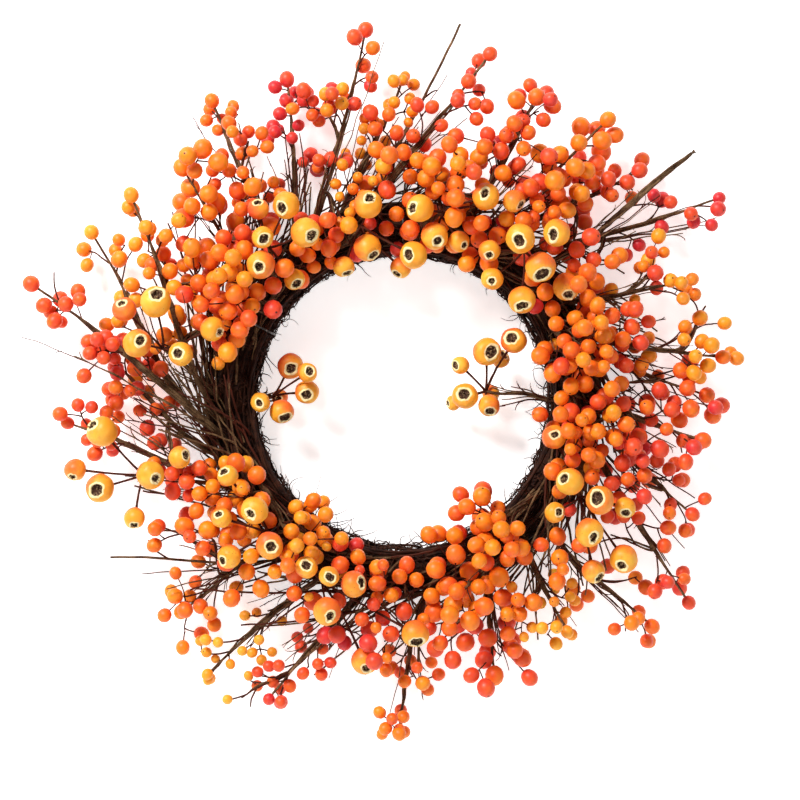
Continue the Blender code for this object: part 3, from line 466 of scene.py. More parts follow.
class Clearance:
    """The stems and berries placed so far, as capsules that the next piece is kept off."""

    def __init__(self) -> None:
        """Starts with nothing placed."""
        self.starts = np.zeros((0, 3))
        self.ends = np.zeros((0, 3))
        self.radii = np.zeros(0)
        self.owners = np.zeros(0, int)
        self.berry = np.zeros(0, bool)

    def add(self, points: Sequence[Vector], radius: float, owner: int, berry: bool = False) -> None:
        """Adds a line of capsules, or one ball.

        Args:
            points: The line's points, or one centre.
            radius: Radius of the capsules.
            owner: Their pick's number, negative for the ring's own pieces.
            berry: Whether they are berries.
        """
        rows = np.array([tuple(p) for p in points], float)
        starts, ends = (rows, rows) if len(rows) == 1 else (rows[:-1], rows[1:])
        self.starts = np.vstack([self.starts, starts])
        self.ends = np.vstack([self.ends, ends])
        self.radii = np.append(self.radii, np.full(len(starts), radius))
        self.owners = np.append(self.owners, np.full(len(starts), owner))
        self.berry = np.append(self.berry, np.full(len(starts), berry))

    def distances(self, start: np.ndarray, end: np.ndarray) -> np.ndarray:
        """Distance from a segment to the axis of each capsule.

        Args:
            start: One end of the segment.
            end: Its other end.

        Returns:
            One for each capsule.
        """
        along = end - start
        others = self.ends - self.starts
        offset = start - self.starts
        aa = along @ along
        ee = np.maximum((others * others).sum(1), 1e-18)
        ff = (others * offset).sum(1)
        cc = offset @ along
        bb = others @ along
        denominator = aa * ee - bb * bb
        s = np.where(denominator > 1e-16, (bb * ff - cc * ee) / np.maximum(denominator, 1e-16), 0)
        s = np.clip(s, 0, 1)
        t = np.clip((bb * s + ff) / ee, 0, 1)
        if aa > 1e-18:
            s = np.clip((bb * t - cc) / aa, 0, 1)
        gaps = offset + s[:, None] * along - t[:, None] * others
        return np.sqrt((gaps * gaps).sum(1))

    def is_clear(
        self,
        points: Sequence[Vector],
        radius: float,
        gap: float,
        owner: int | None = None,
        own_stem_share: float | None = None,
    ) -> bool:
        """Whether a line or ball keeps its gap.

        Args:
            points: The line's points, or one centre.
            radius: Its radius.
            gap: The room it needs.
            owner: The pick whose own stems it may touch.
            own_stem_share: How near them its middle may come, as a share of its radius.

        Returns:
            True if nothing is in its way.
        """
        rows = np.array([tuple(p) for p in points], float)
        if len(rows) == 1:
            rows = np.vstack([rows, rows])
        for start, end in zip(rows[:-1], rows[1:]):
            room = self.distances(start, end) - self.radii - radius - gap
            if owner is not None:
                own_stems = (self.owners == owner) & ~self.berry
                room[own_stems] = 1.0
                if own_stem_share is not None:
                    axis = self.distances(start, end)[own_stems]
                    if (axis < own_stem_share * radius).any():
                        return False
            if (room < 0).any():
                return False
        return True


@dataclass(frozen=True)
class Fruit:
    """A berry or crab apple: its centre, radius, the way its stalk comes in, and its colour."""

    centre: Vector
    radius: float
    stalk: Vector
    tone: float = -1.0


@dataclass
class Grown:
    """What grew for one pick: its lines as (points, radius), and its fruits with their bases."""

    pick: Pick
    owner: int
    lines: list[tuple[Line, float]]
    fruits: list[tuple[Fruit, Vector | None]]


def goal_of(pick: Pick) -> tuple[float, float, float]:
    """What a pick's stem reaches for, as clock hour, distance out and depth."""
    return pick.fork if isinstance(pick, ApplePick) else pick.tip


class Grower:
    """Grows every pick in order, from one seed, clear of the ring and of each other."""

    def __init__(self) -> None:
        """Starts with an empty wreath."""
        self.dice = random.Random(SEED)
        self.room = Clearance()
        self.grown: list[Grown] = []
        self.bundle_middle = (RING.back_depth + RING.front_depth) / 2
        self.bundle_width = max(RING.half_width, self.bundle_middle) + 0.0015

    def add_ring(self) -> None:
        """Keeps the picks off the strands and ties, and off the swinging loop."""
        for lane in RING.strand_lanes:
            line = RING.strand_line(lane)
            self.room.add([*line, line[0]], RING.strand_radius, RING_OWNER)
        for hour in (*RING.tie_hours, 12.0):
            line = RING.tie_line(hour)
            self.room.add([*line, line[0]], RING.tie_radius, RING_OWNER)
        for step in range(12):
            line = RING.loop_line(RING.loop_swing * step / 11)
            self.room.add([*line, line[0]], RING.loop_wire_radius + RING.gap, LOOP_OWNER)
        bar = RING.place(0, RING.bar_height(), RING.back_depth)
        width = RING.loop_half_width
        for across in (-0.5, 0.0, 0.5):
            foot = bar + Vector((across * width, 0, width * 0.4))
            head = bar + Vector((across * width, 0, RING.loop_height - width * 0.3))
            self.room.add([foot, head], width * 0.4, LOOP_OWNER)
        eye = RING.place(0, RING.eye_height(), RING.back_depth)
        self.room.add([eye], RING.eye_radius + RING.tie_radius, LOOP_OWNER)

    def stem_line(self, pick: Pick, goal: Vector, effort: int) -> Line:
        """A stem from its socket in the bundle, swept clockwise, to its goal.

        Args:
            pick: Its pick.
            goal: Where it ends.
            effort: How many tries came before.

        Returns:
            The stem's points.
        """
        wobble = [self.dice.uniform(-1, 1) * min(effort, 12) for _ in range(4)]
        root = pick.root + 0.035 * wobble[0]
        lane = pick.lane + 0.5 * wobble[1]
        start = RING.section_point(root, lane, ROOT_SHARE)
        goal = goal + Vector((0, -0.0022 * wobble[2], 0))
        goal.y = min(goal.y, -0.012)
        reach = (goal - start).length
        hour = goal_of(pick)[0]
        way = 1 if ((hour - root + 6) % 12) - 6 >= 0 else -1
        lift = 0.016 + 0.20 * reach + 0.0008 * abs(wobble[3])
        leave = section_normal(root, lane) * lift + clockwise(root) * (way * 0.24 * reach)
        bow = getattr(pick, "bow", 0.2)
        arrive = (goal - start).normalized() + outward(hour) * bow
        return bezier(start, start + leave, goal - arrive.normalized() * (0.30 * reach), goal, STEM_POINTS)

    def grow_stem(self, pick: Pick, goal: Vector, owner: int) -> Line | None:
        """The first stem that keeps clear of everything placed before it.

        Args:
            pick: The pick it belongs to.
            goal: Where it ends.
            owner: The pick's number.

        Returns:
            The stem's points, or None if it found no room.
        """
        for effort in range(60):
            line = self.stem_line(pick, goal, effort)
            outside = [p for p in line if not self.near_bundle(p, -RING.gap)]
            if len(outside) < 3 or max(p.y for p in line) > -DOOR_GAP - STEM_RADIUS:
                continue
            first = line.index(outside[0])
            if any(self.near_bundle(p, -RING.gap) for p in line[first + 1 :]):
                continue
            if self.room.is_clear(line, STEM_RADIUS, STEM_GAP):
                self.room.add(line, STEM_RADIUS, owner)
                return line
        return None

    def near_bundle(self, centre: Vector, radius: float) -> bool:
        """Whether a ball would cut into the twig bundle."""
        flat = Vector((centre.x, 0, centre.z - CENTRE_HEIGHT))
        across = flat.length - RING.radius
        return math.hypot(across, -centre.y - self.bundle_middle) < self.bundle_width + radius + RING.gap

    def grow_shoot(
        self, owner: int, line: Line, radius: float, length: float, turn: float, at: float
    ) -> Line | None:
        """A side shoot off a stem, bent a little towards the stem's own way.

        Args:
            owner: The pick's number.
            line: The stem it forks off.
            radius: The shoot's radius.
            length: About how long it is.
            turn: Which way round the stem it leaves.
            at: Share of the stem where it forks off.

        Returns:
            The shoot's points, or None if it found no room.
        """
        base = point_on(line, at)
        ahead = (point_on(line, min(at + 0.1, 1.0)) - point_on(line, at - 0.1)).normalized()
        for effort in range(14):
            side = around(ahead, turn + self.dice.uniform(-0.5, 0.5) * (1 + effort / 4))
            way = (ahead * 0.75 + side * 0.75).normalized()
            end = base + way * length * self.dice.uniform(0.75, 1.1)
            middle = (base + end) / 2 + ahead * (0.10 * length)
            shoot = [base, middle, end]
            if not -FRONT_REACH + 0.008 < end.y < -DOOR_GAP - 0.006 or self.near_bundle(end, -RING.gap):
                continue
            if self.room.is_clear(shoot, radius, STEM_GAP, owner):
                self.room.add(shoot, radius, owner)
                return shoot
        return None

    def grow_berry(
        self, owner: int, host: Line, at: float, size: float, pedicel: float, stretch: float = 20.0
    ) -> tuple[Fruit, Vector | None] | None:
        """A berry on a short stalk, somewhere round its host stem.

        Args:
            owner: The pick's number.
            host: The stem or shoot it grows on.
            at: Share of the way along the host.
            size: About how large its radius is.
            pedicel: How long its stalk may be.
            stretch: How slowly the stalk grows with each try.

        Returns:
            The berry and its stalk's base, which is None on a host's tip, or None.
        """
        radius = size * self.dice.uniform(0.88, 1.10)
        base = point_on(host, at)
        ahead = (point_on(host, min(at + 0.08, 1.0)) - point_on(host, at - 0.08)).normalized()
        turn = self.dice.uniform(0, 2 * math.pi)
        if at == 1.0:
            centre = base + ahead * radius * 0.6
            if self.fits(centre, radius, owner):
                self.room.add([centre], radius, owner, berry=True)
                return Fruit(centre, radius, ahead), None
        for effort in range(16):
            turn += 2.4
            side = around(ahead, turn)
            lean = 0.95 if at > 0.96 else 0.35
            way = (ahead * lean + side * (1 - 0.6 * lean) + Vector((0, -0.25, 0))).normalized()
            stalk = radius * 0.55 + pedicel * self.dice.uniform(0.1, 1.0) * (1 + effort / stretch)
            centre = base + way * (stalk + radius * 0.4)
            if not self.fits(centre, radius, owner):
                continue
            if not self.room.is_clear([base, centre - way * radius * 0.5], SHOOT_RADIUS, RING.gap, owner):
                continue
            self.room.add([centre], radius, owner, berry=True)
            self.room.add([base, centre], SHOOT_RADIUS, owner)
            return Fruit(centre, radius, way), base
        return None

    def fits(self, centre: Vector, radius: float, owner: int) -> bool:
        """Whether there is room for a berry, off the door, the bundle and everything placed."""
        if not -FRONT_REACH + radius < centre.y < -DOOR_GAP - radius:
            return False
        if self.near_bundle(centre, radius):
            return False
        return self.room.is_clear([centre], radius, RING.gap, owner, own_stem_share=0.35)

    def grow_spray(self, spray: Spray, line: Line, owner: int) -> Grown:
        """The main shoots and berries of one spray.

        Args:
            spray: The spray.
            line: Its stem.
            owner: Its number.

        Returns:
            The spray as it grew.
        """
        lines = [(line, STEM_RADIUS)]
        for index in range(spray.shoots):
            share = (index + self.dice.uniform(0.1, 0.9)) / spray.shoots
            at = SHOOT_START + (SHOOT_END - SHOOT_START) * share
            shoot = self.grow_shoot(owner, line, SHOOT_RADIUS, spray.spread, 2.4 * index + 0.8, at)
            if shoot:
                lines.append((shoot, SHOOT_RADIUS))
        fruits = []
        hosts = [points for points, _ in lines]
        for index in range(spray.berries):
            host = hosts[index % len(hosts)]
            step = 0.16 if host is line else 0.30
            at = max(1.0 - step * (index // len(hosts)), 0.25)
            fruit = self.grow_berry(owner, host, at, spray.size, spray.size * 1.3)
            if fruit:
                fruits.append(fruit)
        return Grown(spray, owner, lines, fruits)

    def grow_apples(self, pick: ApplePick, line: Line, owner: int) -> Grown:
        """The crab apples of one pick, each on its own stalk from the fork.

        Args:
            pick: The pick.
            line: Its stem.
            owner: Its number.

        Returns:
            The pick as it grew.
        """
        fruits = []
        for hour, reach, depth, size in pick.fruits:
            wanted = RING.place(hour, RING.radius + reach, depth)
            for effort in range(40):
                shake = Vector([self.dice.uniform(-1, 1) for _ in range(3)]) * (0.0005 * effort)
                centre = wanted + shake
                base = point_on(line, 1.0 - 0.012 * (effort % 12))
                way = (centre - base).normalized()
                if self.near_bundle(centre, size) or centre.y > -DOOR_GAP - size:
                    continue
                if not self.room.is_clear([centre], size, RING.gap, owner, own_stem_share=0.9):
                    continue
                inside = centre - way * size * 0.6
                if not self.room.is_clear([base, inside], SHOOT_RADIUS, RING.gap, owner):
                    continue
                self.room.add([centre], size, owner, berry=True)
                self.room.add([base, centre], SHOOT_RADIUS, owner)
                fruits.append((Fruit(centre, size, way), base))
                break
        return Grown(pick, owner, [(line, STEM_RADIUS)], fruits)

    def grow_all(self) -> list[Grown]:
        """Stems first, then crab apples, then berries, so that the big pieces find their place."""
        self.add_ring()
        picks: list[Pick] = [*APPLE_PICKS, *BARE_TWIGS, *SPRAYS]
        lines = []
        for owner, pick in enumerate(picks):
            hour, reach, depth = goal_of(pick)
            goal = RING.place(hour, RING.radius + reach, depth)
            lines.append(self.grow_stem(pick, goal, owner))
        for owner, (pick, line) in enumerate(zip(picks, lines)):
            if line is None:
                log.warning("no room for %s", pick.name)
                continue
            grow = self.grow_apples if isinstance(pick, ApplePick) else self.grow_spray
            self.grown.append(grow(pick, line, owner))
        return self.grown


# ---- finer growth


@dataclass
class Dressing:
    """What one pick has besides its main parts: finer lines and berries, and what they fork off."""

    grown: Grown
    branches: list[Line] = field(default_factory=list)
    shoots: list[tuple[Line, Line]] = field(default_factory=list)
    berries: list[tuple[Fruit, Vector | None, Line]] = field(default_factory=list)
    whiskers: list[Line] = field(default_factory=list)


OPEN_HOURS = (0, 2, 3, 4, 5, 7, 10)  # where the sprays' ends carry few berries
OPEN_REACH = 0.194  # how far out those ends start
OPEN_LEFT_OUT = 0.62  # share of the finer berries left out there
OTHER_LEFT_OUT = 0.25  # and at the ends of the other sprays
WHISKERS = 7
WHISKER_RADIUS = 0.0006
VINE_RADIUS = 0.0007


class FineGrower(Grower):
    """Grows what is too fine for the solids, round what they hold: branches, shoots and berries."""

    def __init__(self) -> None:
        """Grows the main parts first, with their own dice, and then changes to others."""
        super().__init__()
        self.grow_all()
        self.dice = random.Random(SEED + 1)

    def footholds(self, goal: Vector, hour: float, sprays: list[Dressing]) -> list[tuple[Dressing, float]]:
        """Places on the sprays' stems that a branch could fork off at.

        Args:
            goal: Where the branch ends.
            hour: The goal's clock hour.
            sprays: The sprays to look at.

        Returns:
            Sprays with shares of their stems, the best first.
        """
        found = []
        for number, dressing in enumerate(sprays):
            stem = dressing.grown.lines[0][0]
            for at in (0.2, 0.3, 0.4, 0.5, 0.6, 0.7):
                span = goal - point_on(stem, at)
                cost = abs(span.length - 0.034) + 0.010 * len(dressing.branches)
                if span.dot(clockwise(hour)) < -0.004:
                    cost += 0.03
                found.append((cost, number, at))
        return [(sprays[number], at) for _, number, at in sorted(found)[:10]]

    def grow_branch(self, branch: SideBranch, sprays: list[Dressing]) -> tuple[Dressing, Line] | None:
        """A branch that forks off a spray's stem.

        Args:
            branch: The branch.
            sprays: The sprays it may fork off.

        Returns:
            The spray it forks off and its points, or None.
        """
        hour, reach, depth = branch.tip
        wanted = RING.place(hour, RING.radius + reach, depth)
        for effort, (dressing, at) in enumerate(self.footholds(wanted, hour, sprays) * 3):
            stem = dressing.grown.lines[0][0]
            base = point_on(stem, at)
            ahead = (point_on(stem, min(at + 0.1, 1.0)) - point_on(stem, at - 0.1)).normalized()
            goal = wanted + Vector([self.dice.uniform(-1, 1) for _ in range(3)]) * (0.0006 * effort)
            span = (goal - base).length
            bend = (goal - base).normalized() + outward(hour) * 0.3
            line = bezier(base, base + ahead * span * 0.35, goal - bend.normalized() * span * 0.3, goal, 6)
            if any(self.near_bundle(p, 0.001) for p in line[2:]):
                continue
            if self.room.is_clear(line[1:], SHOOT_RADIUS, STEM_GAP, dressing.grown.owner):
                self.room.add(line, SHOOT_RADIUS, dressing.grown.owner)
                return dressing, line
        return None

    def dress_all(self, more_shoots: int = 3) -> list[Dressing]:
        """The finer parts of every pick.

        Args:
            more_shoots: How many shoots each spray gets besides its main ones.

        Returns:
            One dressing for each pick.
        """
        dressings = [Dressing(grown) for grown in self.grown]
        sprays = [d for d in dressings if isinstance(d.grown.pick, Spray) and d.grown.fruits]
        for branch in SIDE_BRANCHES:
            self.add_branch(branch, sprays)
        for dressing in sprays:
            self.add_shoots(dressing, more_shoots)
        for dressing in sprays:
            self.add_berries(dressing)
        for dressing in dressings:
            self.add_whiskers(dressing, WHISKERS)
        return dressings

    def vines(self, tries: int = 1500) -> list[Line]:
        """Bare stems that creep along the front and the outer side of the ring and stray off it.

        Args:
            tries: How many to try.

        Returns:
            The stems that found room.
        """
        found = []
        for _ in range(tries):
            hour, lane = self.dice.uniform(0, 12), self.dice.uniform(-5, 125)
            span, drift = self.dice.uniform(0.5, 1.7), self.dice.uniform(-40, 25)
            stray, rise = self.dice.uniform(0.0, 0.080), self.dice.uniform(0.0, 0.020)
            line = []
            for i in range(13):
                t = i / 12
                skin = RING.section_point(hour + span * t, lane + drift * t, 1.0, 0.0008 + 0.004 * t)
                line.append(skin + outward(hour + span * t) * stray * t**2 + Vector((0, -rise * t, 0)))
            if self.room.is_clear(line, VINE_RADIUS + RING.gap, RING.gap, RING_OWNER):
                self.room.add(line, VINE_RADIUS, RING_OWNER)
                found.append(line)
        return found

    def add_whiskers(self, dressing: Dressing, count: int) -> None:
        """Adds thin bare twigs that leave the bundle beside a pick's stem and stray from it.

        Args:
            dressing: The pick's dressing.
            count: How many to try.
        """
        grown = dressing.grown
        stem = grown.lines[0][0]
        heading = (stem[-1] - stem[0]).normalized()
        span = (stem[-1] - stem[0]).length
        for _ in range(count):
            for effort in range(12):
                share = self.dice.uniform(0.45, 1.02) * (1 - effort / 30)
                side = around(heading, self.dice.uniform(0, 2 * math.pi))
                stray = side * span * self.dice.uniform(0.06, 0.22)
                steps = [i / 7 for i in range(8)]
                line = [point_on(stem, share * t) + stray * t**1.4 for t in steps]
                if not -FRONT_REACH < min(p.y for p in line) or max(p.y for p in line[1:]) > -0.004:
                    continue
                if self.room.is_clear(line[2:], WHISKER_RADIUS, RING.gap, grown.owner):
                    self.room.add(line[2:], WHISKER_RADIUS, grown.owner)
                    dressing.whiskers.append(line)
                    break

    def add_branch(self, branch: SideBranch, sprays: list[Dressing]) -> None:
        """Adds a side branch to the spray that suits it, with its own shoots and berries.

        Args:
            branch: The branch.
            sprays: The sprays.
        """
        found = self.grow_branch(branch, sprays)
        if found is None:
            log.warning("no room for a branch at %s", branch.tip)
            return
        dressing, line = found
        dressing.branches.append(line)
        grown = dressing.grown
        hosts = [line]
        for index in range(branch.shoots):
            at = 0.45 + 0.5 * (index + self.dice.uniform(0.2, 0.8)) / branch.shoots
            shoot = self.grow_shoot(grown.owner, line, SHOOT_RADIUS, branch.spread, 2.4 * index + 0.4, at)
            if shoot:
                dressing.shoots.append((shoot, line))
                hosts.append(shoot)
        for index in range(branch.berries):
            host = hosts[index % len(hosts)]
            at = max(1.0 - 0.17 * (index // len(hosts)), 0.3)
            if self.is_left_out(host, at):
                continue
            fruit = self.grow_berry(grown.owner, host, at, branch.size, branch.size * 1.2, 6.0)
            if fruit:
                dressing.berries.append((self.toned(fruit[0], branch.tone), fruit[1], host))

    def add_shoots(self, dressing: Dressing, count: int) -> None:
        """Adds side shoots along a spray's stem.

        Args:
            dressing: The spray's dressing.
            count: How many to try.
        """
        grown = dressing.grown
        stem = grown.lines[0][0]
        for index in range(count):
            length = grown.pick.spread * self.dice.uniform(0.7, 1.15)
            at = 0.26 + 0.66 * (index + self.dice.uniform(0.1, 0.9)) / count
            shoot = self.grow_shoot(grown.owner, stem, SHOOT_RADIUS, length, 2.1 * index + 2.0, at)
            if shoot:
                dressing.shoots.append((shoot, stem))

    def add_berries(self, dressing: Dressing) -> None:
        """Adds the finer berries of a spray, along its stem and its shoots.

        Args:
            dressing: The spray's dressing.
        """
        grown = dressing.grown
        spray = grown.pick
        hour, reach, _ = spray.tip
        is_open = 1.7 < hour < 9.0 and reach > 0.07
        hosts = [(line, 0.09, 2 if is_open else 4) for line, _ in grown.lines[:1]]
        finer = [line for line, _ in [*grown.lines[1:], *dressing.shoots]]
        hosts += [(line, 0.26, 2 if is_open else 3) for line in finer]
        for line, step, count in hosts:
            for index in range(count):
                at = 1.0 - step * (index + self.dice.uniform(0, 0.6))
                if self.is_left_out(line, at):
                    continue
                size = spray.size * self.dice.uniform(0.86, 1.04)
                fruit = self.grow_berry(grown.owner, line, at, size, spray.size * 1.3, 5.0)
                if fruit:
                    dressing.berries.append((self.toned(fruit[0], spray.tone), fruit[1], line))

    def is_left_out(self, line: Line, at: float) -> bool:
        """Whether a berry is left out, as many are towards the open ends of the sprays."""
        point = point_on(line, at)
        across, up = point.x, point.z - CENTRE_HEIGHT
        if math.hypot(across, up) < OPEN_REACH:
            return False
        hour = round(math.degrees(math.atan2(across, up)) / 30) % 12
        return self.dice.random() < (OPEN_LEFT_OUT if hour in OPEN_HOURS else OTHER_LEFT_OUT)

    def toned(self, fruit: Fruit, tone: Tone) -> Fruit:
        """The same fruit with a colour of its own, near its spray's."""
        return Fruit(fruit.centre, fruit.radius, fruit.stalk, tone.value + self.dice.gauss(0, 0.10))


# ---- lines and meshes


@dataclass(frozen=True)
class Tube:
    """A round line: its points, with a radius at each."""

    points: Line
    radii: list[float]


def tapered(points: Line, root: float, tip: float) -> Tube:
    """A tube along a line, which changes evenly from its root's radius to its tip's."""
    last = max(len(points) - 1, 1)
    return Tube(points, [root + (tip - root) * i / last for i in range(len(points))])


def smooth(points: Line, parts: int) -> Line:
    """A smooth curve through a line's own points.

    Args:
        points: The line.
        parts: Steps between each two of them.

    Returns:
        The curve's points.
    """
    result: Line = []
    last = len(points) - 1
    for i in range(last):
        start, end = points[i], points[i + 1]
        before, after = points[max(i - 1, 0)], points[min(i + 2, last)]
        handles = start + (end - before) / 6, end - (after - start) / 6
        result += bezier(start, *handles, end, parts + 1)[:-1]
    return [*result, points[-1].copy()]


def kinked(points: Line, amount: float, grain: float = 90.0) -> Line:
    """A line with a twig's small kinks: how far they move it, and about how many to the metre."""
    return [p + noise.noise_vector(p * grain) * amount for p in points]


def nearest(line: Line, point: Vector) -> Vector:
    """The point of a line that lies nearest to a place."""
    return min(line, key=lambda p: (p - point).length_squared)


WALL_GAP = 0.0002  # the least room that any line keeps off the door


class Shape:
    """A bmesh that gathers a piece's parts, with values stored at its vertices."""

    def __init__(self, name: str, *keys: str) -> None:
        """Starts with no parts, and with room at each vertex for the values that it will store."""
        self.name = name
        self.mesh = bmesh.new()
        for key in keys:
            self.mesh.verts.layers.float.new(key)

    def mark(
        self, verts: Iterable[bmesh.types.BMVert], **values: float | Callable[[Vector], float]
    ) -> None:
        """Stores values at vertices.

        Args:
            verts: The vertices.
            **values: Numbers, or functions of a vertex's place, by the name they are stored under.
        """
        found = list(verts)
        for key, value in values.items():
            layer = self.mesh.verts.layers.float[key]
            for vert in found:
                vert[layer] = value(vert.co) if callable(value) else value

    def tubes(self, tubes: Sequence[Tube], sides: int = 1, closed: bool = False, **values: float) -> None:
        """Adds round lines.

        Args:
            tubes: The lines.
            sides: How finely round they are.
            closed: Whether each closes on itself.
            **values: Numbers stored at their vertices.
        """
        if not tubes:
            return
        for tube in tubes:
            for point, radius in zip(tube.points, tube.radii):
                point.y = min(point.y, -radius - WALL_GAP)
        curve = bpy.data.curves.new(self.name + "_lines", "CURVE")
        curve.dimensions = "3D"
        curve.bevel_depth = 1.0
        curve.bevel_resolution = sides
        curve.use_fill_caps = True
        for tube in tubes:
            spline = curve.splines.new("POLY")
            spline.points.add(len(tube.points) - 1)
            spline.use_cyclic_u = closed
            spline.points.foreach_set("co", [x for p in tube.points for x in (*p, 1.0)])
            spline.points.foreach_set("radius", tube.radii)
        holder = bpy.data.objects.new(curve.name, curve)
        bpy.context.scene.collection.objects.link(holder)
        graph = bpy.context.evaluated_depsgraph_get()
        made = bpy.data.meshes.new_from_object(holder.evaluated_get(graph))
        bpy.data.objects.remove(holder)
        verts = self.add(made)
        self.mark(verts, **values)

    def add(self, mesh: bpy.types.Mesh) -> list[bmesh.types.BMVert]:
        """Adds a mesh and gives back its vertices here."""
        count = len(self.mesh.verts)
        self.mesh.from_mesh(mesh)
        bpy.data.meshes.remove(mesh)
        self.mesh.verts.ensure_lookup_table()
        return self.mesh.verts[count:]

    def finish(
        self, finish: bpy.types.Material, slot: str, *nodes: str, body: str = WREATH_BODY
    ) -> bpy.types.Object:
        """Makes the piece's object and sets it on its body.

        Args:
            finish: The material.
            slot: The name of its material slot, which is logged.
            *nodes: The solids that the piece is shown in place of.
            body: The body it rides on.

        Returns:
            The object.
        """
        bmesh.ops.remove_doubles(self.mesh, verts=self.mesh.verts, dist=1e-6)
        bmesh.ops.recalc_face_normals(self.mesh, faces=self.mesh.faces)
        for face in self.mesh.faces:
            face.smooth = True
        mesh = bpy.data.meshes.new(self.name)
        faces = len(self.mesh.faces)
        self.mesh.to_mesh(mesh)
        self.mesh.free()
        mesh.materials.append(finish)
        obj = bpy.data.objects.new(self.name, mesh)
        bpy.context.scene.collection.objects.link(obj)
        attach(obj, body)
        if nodes:
            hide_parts(*nodes)
        log.info("%s: %d faces, slot %s, body %s", self.name, faces, slot, body)
        return obj


def turned_to(axis: Vector) -> Matrix:
    """The rotation that turns +Z to an axis."""
    return axis.to_track_quat("Z", "Y").to_matrix().to_4x4()


# ---- shader graph


@dataclass(frozen=True)
class Signal:
    """One output of a shader node, with the arithmetic of a number."""

    shader: "Shader"
    socket: bpy.types.NodeSocket

    def math(self, operation: str, *others: "Signal | float") -> "Signal":
        """A Math node on this value and others."""
        inputs = dict(enumerate([self, *others]))
        return self.shader.node("ShaderNodeMath", {"operation": operation}, inputs)

    def __add__(self, other: "Signal | float") -> "Signal":
        """Sum of the two values."""
        return self.math("ADD", other)

    __radd__ = __add__

    def __mul__(self, other: "Signal | float") -> "Signal":
        """Product of the two values."""
        return self.math("MULTIPLY", other)

    def __sub__(self, other: "Signal | float") -> "Signal":
        """This value less another."""
        return self.math("SUBTRACT", other)

    def __rsub__(self, other: float) -> "Signal":
        """A number less this value."""
        return self * -1.0 + other

    def between(self, low: float, high: float) -> "Signal":
        """Nought below one value, one above the other, and smooth in between."""
        settings = {"interpolation_type": "SMOOTHSTEP"}
        inputs = {"Value": self, "From Min": low, "From Max": high}
        return self.shader.node("ShaderNodeMapRange", settings, inputs)


class Shader:
    """A material's node tree, with one way to add a node."""

    def __init__(self, name: str) -> None:
        """Makes the material."""
        self.material = bpy.data.materials.new(name)
        self.material.use_nodes = True
        self.tree = self.material.node_tree
        self.surface = self.tree.nodes["Principled BSDF"]

    def node(
        self,
        kind: str,
        settings: dict[str, object] | None = None,
        inputs: dict[str | int, object] | None = None,
        output: str | int = 0,
    ) -> Signal:
        """Adds a node.

        Args:
            kind: Its type.
            settings: What is set on the node before anything else.
            inputs: Values or signals for its sockets.
            output: The socket that is wanted.

        Returns:
            The signal from that socket.
        """
        made = self.tree.nodes.new(kind)
        for key, value in (settings or {}).items():
            setattr(made, key, value)
        for key, value in (inputs or {}).items():
            self.put(made.inputs[key], value)
        return Signal(self, made.outputs[output])

    def put(self, socket: bpy.types.NodeSocket, value: object) -> None:
        """Links a signal to a socket, or sets a plain value on it, a colour as opaque."""
        if isinstance(value, Signal):
            self.tree.links.new(value.socket, socket)
        elif socket.type == "RGBA":
            socket.default_value = (*value, 1.0)
        else:
            socket.default_value = value

    def stored(self, name: str) -> Signal:
        """A value stored at the vertices."""
        return self.node("ShaderNodeAttribute", {"attribute_name": name}, output="Fac")

    def place(self) -> Signal:
        """The point being shaded, in the object's own frame."""
        return self.node("ShaderNodeTexCoord", output="Object")

    def noise(self, scale: float, detail: float = 2.0) -> Signal:
        """Noise round a half, with so many grains to the metre and so many finer layers."""
        inputs = {"Vector": self.place(), "Scale": scale, "Detail": detail}
        return self.node("ShaderNodeTexNoise", {}, inputs)

    def mix(self, share: Signal | float, first: object, second: object) -> Signal:
        """Two colours mixed by a share of the second."""
        inputs = {0: share, 6: first, 7: second}
        return self.node("ShaderNodeMix", {"data_type": "RGBA"}, inputs, 2)

    def ramp(self, value: Signal, stops: Sequence[tuple[float, tuple[float, float, float]]]) -> Signal:
        """A colour scale.

        Args:
            value: Where on the scale.
            stops: Places with their colours.

        Returns:
            The colour.
        """
        made = self.node("ShaderNodeValToRGB", {}, {"Fac": value})
        scale = made.socket.node.color_ramp
        while len(scale.elements) < len(stops):
            scale.elements.new(1.0)
        for element, (place, colour) in zip(scale.elements, stops):
            element.position = place
            element.color = (*colour, 1.0)
        return made

    def done(self, **inputs: object) -> bpy.types.Material:
        """Sets the surface's sockets, named with _ for each space.

        Args:
            **inputs: Values or signals.

        Returns:
            The finished material.
        """
        for key, value in inputs.items():
            self.put(self.surface.inputs[key.replace("_", " ")], value)
        return self.material

    def bump(self, height: Signal, strength: float, distance: float) -> Signal:
        """The normal of a surface raised by a height, where one stands for a distance in metres."""
        inputs = {"Height": height, "Strength": strength, "Distance": distance}
        return self.node("ShaderNodeBump", {}, inputs)


Colour = tuple[float, float, float]


